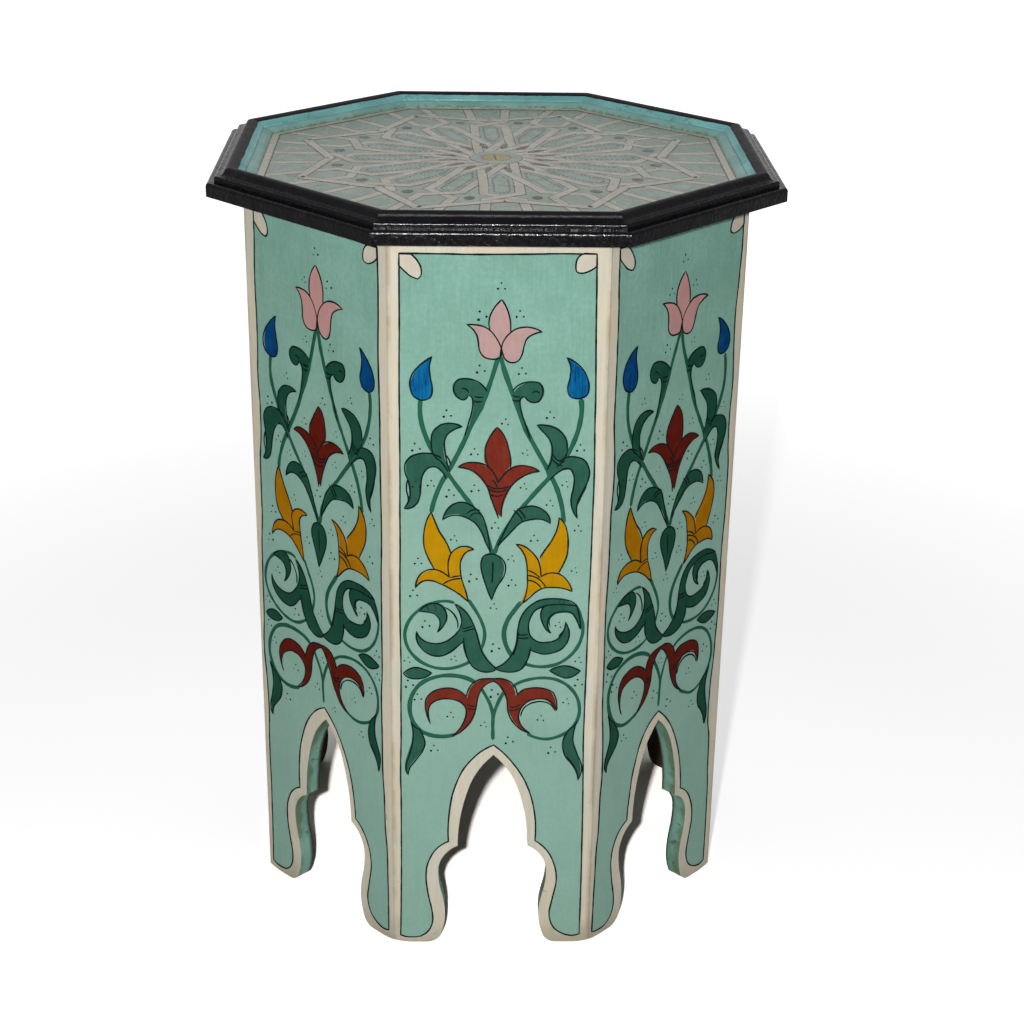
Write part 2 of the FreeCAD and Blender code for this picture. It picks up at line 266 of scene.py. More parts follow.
class Tree:
    """A geometry node tree that ends in plain mesh with one material."""

    def __init__(self, name: str) -> None:
        """Starts a tree with a geometry and a material input."""
        self.group = bpy.data.node_groups.new(name, "GeometryNodeTree")
        self.entry = self.group.nodes.new("NodeGroupInput")
        self.exit = self.group.nodes.new("NodeGroupOutput")
        self.geometry = self.opening("Geometry", "NodeSocketGeometry")
        self.finish_slot = self.opening("Finish", "NodeSocketMaterial")

    def opening(self, name: str, kind: str = "NodeSocketFloat",
                default: object = None) -> Socket:
        """A named input of the tree."""
        item = self.group.interface.new_socket(name, in_out="INPUT", socket_type=kind)
        if default is not None:
            item.default_value = default
        return next(out for out in self.entry.outputs if out.identifier == item.identifier)

    def add(self, kind: str, out: object = 0, set: dict[str, object] | None = None,
            **values: object) -> Socket:
        """A node of the tree.

        Args:
            kind: the node's type.
            out: the name or number of the output that is handed back.
            set: the node's own settings.
            values: its inputs by name, with _ for a blank, or _0, _1 by number.

        Returns:
            The chosen output.
        """
        node = self.group.nodes.new(kind)
        for key, value in (set or {}).items():
            setattr(node, key, value)
        for key, value in values.items():
            number = key[1:] if key.startswith("_") else ""
            socket = node.inputs[int(number) if number else key.replace("_", " ")]
            if isinstance(value, bpy.types.NodeSocket):
                self.group.links.new(value, socket)
            else:
                socket.default_value = value
        return node.outputs[out]

    def math(self, kind: str, first: object, second: object = 0.0) -> Socket:
        """One arithmetic step on sockets or numbers."""
        return self.add("ShaderNodeMath", set={"operation": kind}, _0=first, _1=second)

    def close(self, shape: Socket, smooth: bool = True) -> None:
        """Ends the tree: instances made real, shaded and given the finish."""
        shape = self.add("GeometryNodeRealizeInstances", Geometry=shape)
        shape = self.add("GeometryNodeSetShadeSmooth", Geometry=shape, Shade_Smooth=smooth)
        shape = self.add("GeometryNodeSetMaterial", Geometry=shape,
                         Material=self.finish_slot)
        item = self.group.interface.new_socket(
            "Geometry", in_out="OUTPUT", socket_type="NodeSocketGeometry")
        end = next(one for one in self.exit.inputs if one.identifier == item.identifier)
        self.group.links.new(shape, end)

    def grow(self, source: bpy.types.ID, name: str, **values: object) -> bpy.types.Object:
        """Runs the tree on some data and keeps the result as a plain mesh piece.

        Args:
            source: the mesh or curve that the tree starts from.
            name: the piece's name.
            values: the tree's inputs by name, with _ for a blank.

        Returns:
            The piece, without a modifier.
        """
        seed = bpy.data.objects.new(name + "_seed", source)
        bpy.context.scene.collection.objects.link(seed)
        modifier = seed.modifiers.new("tree", "NODES")
        modifier.node_group = self.group
        openings = {
            item.name: item.identifier
            for item in self.group.interface.items_tree
            if item.in_out == "INPUT"
        }
        for key, value in values.items():
            modifier[openings[key.replace("_", " ")]] = value
        ready = seed.evaluated_get(bpy.context.evaluated_depsgraph_get())
        mesh = bpy.data.meshes.new_from_object(ready)
        mesh.name = name
        bpy.data.objects.remove(seed)
        piece = bpy.data.objects.new(name, mesh)
        bpy.context.scene.collection.objects.link(piece)
        return piece


def settle(piece: bpy.types.Object) -> None:
    """Lets a finished piece ride with the table."""
    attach(piece, "root")
    log.info("%s: %d faces", piece.name, len(piece.data.polygons))


def smooth_run(points: Sequence[Point], step: float, closed: bool = False) -> list[Point]:
    """Points along a smooth line through the given ones, without its last point.

    Args:
        points: what the line passes through.
        step: about how far apart its points lie, in the points' unit.
        closed: whether the line runs back into its start.

    Returns:
        The line's points, in order.
    """
    spots = [Vector(point) for point in points]
    if closed:
        spots.append(spots[0])
    gaps = [max((b - a).length, 1e-6) for a, b in zip(spots, spots[1:])]
    ways = [(b - a) / gap for a, b, gap in zip(spots, spots[1:], gaps)]
    turns = []
    for index in range(len(spots)):
        if 0 < index < len(ways):
            near, far = index - 1, index
        elif closed:
            near, far = len(ways) - 1, 0
        else:
            near = far = min(index, len(ways) - 1)
        weight = gaps[near] + gaps[far]
        turns.append((ways[near] * gaps[far] + ways[far] * gaps[near]) / weight)
    if len(ways) > 1 and not closed:
        turns[0] = ways[0] * 2 - turns[1]
        turns[-1] = ways[-1] * 2 - turns[-2]
    line = []
    for index, gap in enumerate(gaps):
        count = max(1, round(gap / step)) if len(ways) > 1 else 1
        a, b = spots[index], spots[index + 1]
        for part in range(count):
            t = part / count
            spot = (
                a * (2 * t**3 - 3 * t**2 + 1) + turns[index] * gap * (t**3 - 2 * t**2 + t)
                + b * (3 * t**2 - 2 * t**3) + turns[index + 1] * gap * (t**3 - t**2)
            )
            line.append((spot.x, spot.y))
    return line


def outline(runs: Sequence[Run], step: float) -> list[Point]:
    """A closed outline of smooth runs that meet in corners.

    Args:
        runs: each run begins at a corner and ends at the next run's first point.
        step: about how far apart the outline's points lie.

    Returns:
        The outline's points.
    """
    line = []
    for index, run in enumerate(runs):
        after = runs[(index + 1) % len(runs)][0]
        line += smooth_run((*run, after), step)
    return line


def open_line(path: Run, step: float) -> Line:
    """A smooth line through a path with its last point, marked as open."""
    return smooth_run(path, step) + [path[-1]], False


class Plates:
    """Thin closed plates of paint, gathered into one mesh."""

    def __init__(self) -> None:
        """Starts with no plate."""
        self.points: list[Vector] = []
        self.faces: list[tuple[int, ...]] = []
        self.kinds: list[int] = []

    def add(self, line: Sequence[Point], place: Place, low: float, high: float,
            kind: int = 0) -> None:
        """Adds one plate.

        Args:
            line: its outline.
            place: turns a spot of the outline and a height into a point.
            low, high: the heights of its two faces.
            kind: the number of its material in the piece.
        """
        flat = [Vector((x, y, 0)) for x, y in line]
        if sum(a.x * b.y - a.y * b.x for a, b in zip(flat, flat[1:] + flat[:1])) < 0:
            flat.reverse()
        base, count = len(self.points), len(flat)
        for height in (low, high):
            self.points += [place(spot.x, spot.y, height) for spot in flat]
        tops = self.points[base + count:]
        out = tops[0] - self.points[base]
        before = len(self.faces)
        for a, b, c in geometry.tessellate_polygon([tops]):
            if (tops[b] - tops[a]).cross(tops[c] - tops[a]).dot(out) < 0:
                b, c = c, b
            self.faces.append((base + c, base + b, base + a))
            self.faces.append(tuple(base + count + corner for corner in (a, b, c)))
        for one in range(count):
            two = (one + 1) % count
            self.faces.append(
                (base + one, base + two, base + count + two, base + count + one))
        self.kinds += [kind] * (len(self.faces) - before)

    def mesh(self, name: str, finishes: Sequence[Material] = ()) -> bpy.types.Mesh:
        """The plates as one mesh.

        Args:
            name: the mesh's name.
            finishes: its materials, in the order of the plates' kinds.

        Returns:
            The mesh.
        """
        mesh = bpy.data.meshes.new(name)
        mesh.from_pydata(self.points, [], self.faces)
        for finish in finishes:
            mesh.materials.append(finish)
        mesh.polygons.foreach_set("material_index", self.kinds)
        mesh.update()
        return mesh

    def piece(self, name: str, finishes: Sequence[Material], slot: str) -> None:
        """Makes the plates a piece of the scene, as mesh does."""
        made = bpy.data.objects.new(name, self.mesh(name, finishes))
        bpy.context.scene.collection.objects.link(made)
        settle(made)


def strokes(name: str, lines: Iterable[Line], place: Place,
            lift: float) -> bpy.types.Curve:
    """Brush strokes as plain poly lines.

    Args:
        name: the curve's name.
        lines: each stroke's points and whether it closes on itself.
        place: turns a spot of a stroke and a height into a point.
        lift: the height of the strokes' middle.

    Returns:
        The curve.
    """
    curve = bpy.data.curves.new(name, "CURVE")
    curve.dimensions = "3D"
    for points, closed in lines:
        spline = curve.splines.new("POLY")
        spline.points.add(len(points) - 1)
        spline.use_cyclic_u = closed
        for spot, (x, y) in zip(spline.points, points):
            spot.co = (*place(x, y, lift), 1.0)
    return curve


def brush_tree() -> Tree:
    """A tree that lays a domed, wavering brush stroke along every curve."""
    tree = Tree("brush_stroke")
    width = tree.opening("Width", default=1.0 * MM)
    height = tree.opening("Height", default=0.3 * MM)
    waver = tree.opening("Waver", default=0.2)
    taper = tree.opening("Taper", default=3.0 * MM)
    facing = tree.opening("Facing", "NodeSocketVector")
    line = tree.add("GeometryNodeSetCurveNormal", set={"mode": "FREE"},
                    Curve=tree.geometry, Normal=facing)
    section = tree.add("GeometryNodeCurvePrimitiveCircle", Resolution=6, Radius=1.0)
    shape = tree.add("ShaderNodeCombineXYZ", X=height, Y=tree.math("MULTIPLY", width, 0.5),
                     Z=1.0)
    section = tree.add("GeometryNodeTransform", Geometry=section, Scale=shape)
    grain = tree.add("ShaderNodeTexNoise", Scale=120.0, Detail=1.0,
                     Vector=tree.add("GeometryNodeInputPosition"))
    swell = tree.math("MULTIPLY", tree.math("SUBTRACT", grain, 0.5),
                      tree.math("MULTIPLY", waver, 2.0))
    swell = tree.math("ADD", swell, 1.0)
    gone = tree.add("GeometryNodeSplineParameter", out="Length")
    total = tree.add("GeometryNodeSplineLength", out="Length")
    left = tree.math("MINIMUM", gone, tree.math("SUBTRACT", total, gone))
    tip = tree.math("ADD", tree.math("DIVIDE", left, taper), 0.45)
    round_trip = tree.add("GeometryNodeInputSplineCyclic")
    tip = tree.math("MINIMUM", tree.math("MAXIMUM", tip, round_trip), 1.0)
    tube = tree.add("GeometryNodeCurveToMesh", Curve=line, Profile_Curve=section,
                    Scale=tree.math("MULTIPLY", swell, tip), Fill_Caps=True)
    tree.close(tube)
    return tree


def dot_tree() -> Tree:
    """A tree that sets three small domed dots on every point."""
    tree = Tree("three_dots")
    radius = tree.opening("Radius", default=0.62 * MM)
    spread = tree.opening("Spread", default=2.5 * MM)
    facing = tree.opening("Facing", "NodeSocketVector")
    seed = tree.opening("Seed", "NodeSocketInt", 1)
    dot = tree.add("GeometryNodeMeshUVSphere", Segments=8, Rings=4, Radius=radius)
    dot = tree.add("GeometryNodeTransform", Geometry=dot, Scale=(1.0, 1.0, 0.45))
    index = tree.add("GeometryNodeInputIndex")
    size = tree.add("FunctionNodeRandomValue", out=1, _2=0.75, _3=1.25, ID=index, Seed=seed)
    corners = tree.add("GeometryNodeMeshCircle", Vertices=3, Radius=spread)
    group = tree.add("GeometryNodeInstanceOnPoints", Points=corners, Instance=dot,
                     Scale=size)
    level = tree.add("FunctionNodeAxesToRotation",
                     set={"primary_axis": "Z", "secondary_axis": "Y"},
                     Primary_Axis=facing, Secondary_Axis=(0.0, 0.0, 1.0))
    upright = math.pi / 2
    spin = tree.add("FunctionNodeRandomValue", out=1, _2=upright - 0.4, _3=upright + 0.4,
                    ID=index, Seed=seed)
    spin = tree.add("FunctionNodeAxisAngleToRotation", Axis=(0.0, 0.0, 1.0), Angle=spin)
    turn = tree.add("FunctionNodeRotateRotation", set={"rotation_space": "LOCAL"},
                    Rotation=level, Rotate_By=spin)
    dots = tree.add("GeometryNodeInstanceOnPoints", Points=tree.geometry, Instance=group,
                    Rotation=turn, Scale=size)
    tree.close(dots)
    return tree


def around_tree() -> Tree:
    """A tree that repeats a shape about the table's axis, drawn by an unsteady hand."""
    tree = Tree("around_the_middle")
    count = tree.opening("Count", "NodeSocketInt", SIDES)
    drift = tree.opening("Drift", default=0.8 * MM)
    spots = tree.add("GeometryNodePoints", Count=count)
    turn = tree.math("DIVIDE", math.tau, count)
    turn = tree.math("MULTIPLY", turn, tree.add("GeometryNodeInputIndex"))
    spin = tree.add("FunctionNodeAxisAngleToRotation", Axis=(0.0, 0.0, 1.0), Angle=turn)
    ring = tree.add("GeometryNodeInstanceOnPoints", Points=spots,
                    Instance=tree.geometry, Rotation=spin)
    ring = tree.add("GeometryNodeRealizeInstances", Geometry=ring)
    sway = tree.add("ShaderNodeTexNoise", out="Color", Scale=26.0, Detail=1.0,
                    Vector=tree.add("GeometryNodeInputPosition"))
    sway = tree.add("ShaderNodeVectorMath", set={"operation": "SUBTRACT"}, _0=sway,
                    _1=(0.5, 0.5, 0.5))
    level = tree.add("ShaderNodeCombineXYZ", X=drift, Y=drift, Z=0.0)
    sway = tree.add("ShaderNodeVectorMath", set={"operation": "MULTIPLY"}, _0=sway,
                    _1=level)
    sway = tree.add("ShaderNodeVectorMath", set={"operation": "SCALE"}, _0=sway,
                    Scale=4.0)
    ring = tree.add("GeometryNodeSetPosition", Geometry=ring, Offset=sway)
    tree.close(ring, smooth=False)
    return tree


# Finishes

class Colour(Enum):
    """The painter's pots."""

    CREAM = "cream"
    GROUND = "ground"
    PINK = "pink"
    BLUE = "blue"
    LEAF = "leaf"
    STEM = "stem"
    RED = "red"
    YELLOW = "yellow"
    INK = "ink"
    STRAP = "strap"
    TOP_GREEN = "top_green"
    TOP_INK = "top_ink"
    OVAL = "oval"
    ALMOND = "almond"
    BLUE_GREY = "blue_grey"
    OCHRE = "ochre"


@dataclass(frozen=True)
class BrushedPaint:
    """A flat paint laid on by hand: cloudy, faintly streaked, softly glossy."""

    tone: Tone
    cloud: float = 0.14
    streak: float = 0.10
    deep: Tone | None = None
    roughness: float = 0.42
    shine: float = 0.015
    darker: float = 0.72
    paler: float = 1.16

    def make(self, name: str) -> Material:
        """The paint as a material."""
        shader = Shader(name, self.shine)
        tone = linear(*self.tone)
        dark = linear(*self.deep) if self.deep else (*(c * self.darker for c in tone[:3]), 1.0)
        pale = (*(min(1.0, c * self.paler + 0.006) for c in tone[:3]), 1.0)
        cloud = shader.patches(95.0, 5.0, 0.6, 0.28, 0.72)
        streak = shader.grain((900.0, 900.0, 60.0), 3.0, 0.6, 0.0, 0.3, 0.75)
        fleck = shader.patches(420.0, 2.0, 0.55, 0.68, 0.78)
        colour = shader.wash(tone, dark, cloud, self.cloud * 4)
        colour = shader.wash(colour, pale, streak, self.streak * 3)
        colour = shader.wash(colour, dark, fleck, 0.35)
        rough = shader.between(cloud, 0.0, 1.0, self.roughness - 0.07, self.roughness + 0.1)
        return shader.finish(colour, rough, shader.plus(streak, cloud, 0.5), 0.00006)


POTS = {
    Colour.CREAM: BrushedPaint((214, 206, 188), 0.10, 0.12),
    Colour.PINK: BrushedPaint((193, 158, 154), 0.09, 0.10),
    Colour.BLUE: BrushedPaint((10, 106, 156), 0.26, 0.30, (0, 46, 104)),
    Colour.LEAF: BrushedPaint((50, 98, 82), 0.13, 0.12, (32, 74, 62)),
    Colour.STEM: BrushedPaint((44, 104, 84), 0.12, 0.10),
    Colour.RED: BrushedPaint((128, 50, 36), 0.14, 0.12, (98, 32, 22)),
    Colour.YELLOW: BrushedPaint((196, 146, 10), 0.13, 0.12, (170, 116, 0)),
    Colour.INK: BrushedPaint((20, 36, 36), 0.05, 0.05),
    Colour.STRAP: BrushedPaint((192, 186, 170), 0.1, 0.06, (170, 164, 148), 0.26, 0.14),
    Colour.TOP_GREEN: BrushedPaint((142, 160, 146), 0.16, 0.08, (124, 146, 138), 0.26, 0.14),
    Colour.TOP_INK: BrushedPaint((32, 34, 30), 0.1, 0.1, None, 0.26, 0.14),
    Colour.OVAL: BrushedPaint((20, 42, 30), 0.12, 0.06, None, 0.26, 0.14),
    Colour.ALMOND: BrushedPaint((56, 50, 40), 0.12, 0.06, None, 0.26, 0.14),
    Colour.BLUE_GREY: BrushedPaint((158, 170, 158), 0.14, 0.06, None, 0.26, 0.14),
    Colour.OCHRE: BrushedPaint((190, 160, 92), 0.2, 0.1, (140, 136, 84), 0.26, 0.14),
}

# Darker, deeper copies of the paints for every board but the front: painted shade, as those
# boards turn away from the light
SHADED_POTS = POTS | {
    Colour.PINK: BrushedPaint((198, 150, 146), 0.09, 0.12),
    Colour.BLUE: BrushedPaint((0, 72, 126), 0.20, 0.22, (0, 34, 84)),
    Colour.LEAF: BrushedPaint((26, 78, 60), 0.13, 0.12, (14, 54, 42)),
    Colour.STEM: BrushedPaint((32, 92, 70), 0.12, 0.10),
    Colour.RED: BrushedPaint((98, 24, 10), 0.14, 0.12, (74, 14, 6)),
    Colour.YELLOW: BrushedPaint((178, 120, 2), 0.13, 0.12, (148, 94, 0)),
    Colour.INK: BrushedPaint((10, 22, 22), 0.05, 0.05),
}


@dataclass(frozen=True)
class GroundPaint:
    """The blue-green ground: cloudy, with the wood's upright grain showing."""

    tone: Tone = (142, 189, 173)
    deep: Tone = (116, 163, 146)
    pale: Tone = (154, 196, 181)
    painted_foot_light: Tone = (160, 194, 178)
    painted_light_low: float = 0.26
    painted_light_high: float = 0.52

    def make(self, name: str) -> Material:
        """The ground as a material, paler towards the foot: painted light that makes up for the
        lamp's fall-off down the board.
        """
        shader = Shader(name, 0.04)
        cloud = shader.patches(26.0, 7.0, 0.66, 0.28, 0.72)
        speck = shader.patches(330.0, 4.0, 0.6)
        grain = shader.grain((900.0, 900.0, 34.0), 5.0, 0.66, 0.4, 0.3, 0.72)
        # Painted light: the ground is made paler towards the foot, to make up for the light
        # falling off down the board.
        painted_foot_light = shader.between(shader.axes()[2], self.painted_light_low, self.painted_light_high, 0.5, 0.0)
        colour = shader.wash(self.tone, self.deep, cloud, 0.85)
        colour = shader.wash(colour, self.pale, grain, 0.5)
        colour = shader.wash(colour, self.deep, speck, 0.42)
        colour = shader.wash(colour, self.painted_foot_light, painted_foot_light)
        rough = shader.between(cloud, 0.0, 1.0, 0.34, 0.5)
        return shader.finish(colour, rough, shader.plus(grain, speck, 0.4), 0.00009)


@dataclass(frozen=True)
class PanelCoat:
    """A side board: cream outside, patchy green in the arch, bare wood within."""

    face: float
    inside: float
    seam_start: float = 0.397
    seam_end: float = 0.415
    soiled_height: float = 0.034
    chipped_height: float = 0.16

    def make(self, name: str) -> Material:
        """The board's coat as a material, told apart by the distance from the axis."""
        shader = Shader(name, 0.05)
        depth = shader.apothem()
        x, y, height = shader.axes()
        squares = [shader.math("MULTIPLY", one, one) for one in (x, y, depth)]
        across = shader.math("SUBTRACT", shader.math("ADD", *squares[:2]), squares[2])
        across = shader.math("SQRT", shader.math("MAXIMUM", across, 0.0))
        grain = shader.grain((420.0, 420.0, 14.0), 6.0, 0.65, 0.6, 0.3, 0.72)
        cloud = shader.patches(22.0, 5.0, 0.6)
        outer = shader.between(depth, self.face - 0.0009, self.face - 0.0003)
        near = shader.between(depth, self.inside + 0.0005, self.inside + 0.0012)
        colour = shader.blend(near, self.bare(shader, grain, cloud),
                              self.arch_paint(shader, depth, cloud))
        colour = shader.blend(outer, colour, self.cream(shader, across, height, grain, cloud))
        rough = shader.between(outer, 0.0, 1.0, 0.72, 0.42)
        return shader.finish(colour, rough, grain, 0.00012)

    def cream(self, shader: Shader, across: Socket, height: Socket, grain: Socket,
              cloud: Socket) -> Socket:
        """The cream face, stained at the seams, soiled and chipped towards the foot.

        Args:
            shader: the material.
            across, height: how far a spot is from the board's middle line and the floor.
            grain, cloud: the board's streaks and clouds.

        Returns:
            The colour's socket.
        """
        warm = shader.patches(34.0, 4.0, 0.6, 0.42, 0.62, 0.0, 0.45)
        seam = shader.between(across, self.face * self.seam_start, self.face * self.seam_end)
        stain = shader.patches(14.0, 6.0, 0.7, 0.4, 0.62, 0.1, 0.75)
        soil = shader.between(shader.plus(height, cloud, 0.02), 0.0, self.soiled_height,
                              0.5, 0.0)
        chips = shader.patches(95.0, 6.0, 0.7, 0.655, 0.68)
        low = shader.between(height, 0.0, self.chipped_height, 1.0, 0.25)
        paint = shader.blend(grain, (228, 221, 202), (214, 209, 190))
        paint = shader.wash(paint, (198, 197, 180), cloud, 0.35)
        paint = shader.wash(paint, (228, 210, 180), warm)
        paint = shader.wash(paint, (176, 150, 120), shader.math("MULTIPLY", seam, stain))
        paint = shader.wash(paint, (142, 130, 100), soil)
        return shader.wash(paint, (128, 104, 74), shader.math("MULTIPLY", chips, low), 0.6)

    def arch_paint(self, shader: Shader, depth: Socket, cloud: Socket) -> Socket:
        """The thin green in the arch, darker towards the back of the board: partly bare wood
        showing through, partly painted shade.

        Args:
            shader: the material.
            depth: a spot's distance from the axis, as an octagon's.
            cloud: the board's clouds.

        Returns:
            The colour's socket.
        """
        through = shader.between(depth, self.inside, self.face)
        olive = shader.between(shader.math("ADD", through, cloud), 0.95, 1.5, 0.0, 0.75)
        thin = shader.patches(120.0, 6.0, 0.7, 0.57, 0.67, 0.0, 0.7)
        # Darker towards the board's back: partly bare wood, partly painted shade in the arch.
        rear_wood_and_shade = shader.between(shader.plus(depth, cloud, 0.002), self.inside + 0.0015,
                              self.inside + 0.0045, 0.8, 0.0)
        green = shader.blend(cloud, (146, 194, 176), (114, 158, 142))
        green = shader.wash(green, (108, 124, 92), olive)
        green = shader.wash(green, (52, 78, 66), thin)
        return shader.wash(green, (40, 38, 30), rear_wood_and_shade)

    def bare(self, shader: Shader, grain: Socket, cloud: Socket) -> Socket:
        """The dark wood of the board's back."""
        wood = shader.blend(grain, (84, 74, 62), (56, 48, 40))
        return shader.wash(wood, (44, 37, 32), cloud, 0.5)


@dataclass(frozen=True)
class RimLacquer:
    """Black lacquer outside and turquoise paint on the inner slope."""

    turn: float
    crest: float
    waver: float = 0.0012
    edge: float = 0.0002
    handled_start: float = 0.0044
    handled_end: float = 0.0024

    def make(self, name: str) -> Material:
        """The rim's coat as a material.

        The colours meet at the distance turn from the axis, along a hand-drawn line,
        and the gloss is rubbed off towards the crest.
        """
        shader = Shader(name, 0.05)
        lump = shader.noise(70.0, 4.0, 0.6)
        fine = shader.noise(380.0, 3.0, 0.6)
        cloud = shader.patches(26.0, 5.0)
        sway = shader.math("SUBTRACT", shader.noise(60.0, 2.0), 0.5)
        line = shader.plus(shader.apothem(), sway, self.waver)
        rub_and_sheen = shader.between(shader.plus(lump, fine, 0.5), 0.92, 1.05)
        worn = shader.between(shader.math("ADD", fine, lump), 1.14, 1.24)
        black = shader.blend(cloud, (6, 5, 10), (15, 13, 16))
        # Grey patches on the black: partly rubbed lacquer, partly painted sheen of light on the
        # lacquer.
        black = shader.wash(black, (76, 70, 64), rub_and_sheen, 0.26)
        blue = shader.blend(cloud, (142, 203, 202), (114, 174, 176))
        blue = shader.wash(blue, (92, 128, 120), worn, 0.6)
        side = shader.between(line, self.turn - self.edge, self.turn + self.edge)
        rough = shader.between(fine, 0.3, 0.7, 0.14, 0.28)
        handled = shader.between(shader.axes()[2], self.crest - self.handled_start,
                                 self.crest - self.handled_end, 0.0, 0.5)
        return shader.finish(shader.blend(side, blue, black),
                             shader.math("MAXIMUM", rough, handled),
                             shader.plus(lump, fine, 0.4), 0.0009)


@dataclass(frozen=True)
class LippingPaint:
    """Turquoise paint on the narrow strip, worn along its edges."""

    inner: float
    worn_width: float = 0.0018

    def make(self, name: str) -> Material:
        """The strip's coat as a material."""
        shader = Shader(name, 0.08)
        cloud = shader.patches(30.0, 5.0)
        fine = shader.patches(300.0, 4.0, 0.6, 0.35, 0.7)
        edge = shader.between(shader.apothem(), self.inner, self.inner + self.worn_width,
                              0.9, 0.0)
        colour = shader.blend(cloud, (140, 188, 180), (118, 168, 160))
        colour = shader.wash(colour, (116, 106, 76), shader.math("MULTIPLY", edge, fine))
        rough = shader.between(fine, 0.0, 1.0, 0.06, 0.24)
        return shader.finish(colour, rough, fine, 0.0002)


@dataclass(frozen=True)
class TopGround:
    """The top's grey-green ground under its pattern, bare wood below."""

    surface: float

    def make(self, name: str) -> Material:
        """The ground as a material."""
        shader = Shader(name, 0.14)
        cloud = shader.patches(16.0, 6.0, 0.62)
        grain = shader.grain((16.0, 420.0, 420.0), 5.0, 0.6, 0.5, 0.3, 0.7)
        speck = shader.patches(240.0, 4.0, 0.55, 0.4, 0.72)
        top = shader.between(shader.axes()[2], self.surface - 0.0012, self.surface - 0.0006)
        colour = shader.blend(cloud, (152, 167, 151), (141, 157, 143))
        colour = shader.wash(colour, (162, 174, 157), grain, 0.4)
        colour = shader.wash(colour, (112, 134, 120), speck, 0.2)
        wood = shader.blend(grain, (112, 90, 62), (84, 66, 44))
        rough = shader.between(cloud, 0.0, 1.0, 0.22, 0.36)
        return shader.finish(shader.blend(top, wood, colour), rough,
                             shader.plus(grain, cloud, 2.0), 0.00012)


@dataclass(frozen=True)
class BareWood:
    """Sawn softwood, never painted, gone brown with age."""

    stretch: tuple[float, float, float]
    turn: float = 0.0

    def make(self, name: str) -> Material:
        """The wood as a material, with its grain along the short stretch."""
        shader = Shader(name, 0.3)
        grain = shader.grain(self.stretch, 7.0, 0.65, 0.8, 0.28, 0.72, self.turn)
        colour = shader.blend(grain, (126, 102, 72), (88, 68, 46))
        colour = shader.wash(colour, (70, 55, 38), shader.patches(18.0), 0.45)
        rough = shader.between(grain, 0.0, 1.0, 0.66, 0.85)
        return shader.finish(colour, rough, grain, 0.0002)


@dataclass(frozen=True)
class ScrewSteel:
    """Dull zinc-plated steel with some rust."""

    def make(self, name: str) -> Material:
        """The steel as a material."""
        shader = Shader(name, 0.5)
        shader.surface.inputs["Metallic"].default_value = 0.9
        rust = shader.patches(700.0, 5.0, 0.55, 0.5, 0.68)
        colour = shader.blend(rust, (150, 148, 142), (96, 62, 40))
        rough = shader.between(rust, 0.0, 1.0, 0.32, 0.8)
        return shader.finish(colour, rough, shader.noise(2600.0, 2.0), 0.00002)


# The painted side boards

@dataclass(frozen=True)
class Figure:
    """One painted figure, in millimetres across and up its board.

    The pen follows the runs that are numbered in pen, or the whole outline.
    """

    colour: Colour
    runs: tuple[Run, ...]
    layer: int = 0
    pen: tuple[int, ...] | None = None

    def pen_paths(self, step: float) -> list[Line]:
        """The lines that the pen draws, and whether each closes on itself.

        Args:
            step: about how far apart a line's points lie.

        Returns:
            The whole outline, or only the runs that are named in pen.
        """
        if self.pen is None:
            return [(outline(self.runs, step), True)]
        after = self.runs[1:] + self.runs[:1]
        return [open_line((*self.runs[number], after[number][0]), step)
                for number in self.pen]


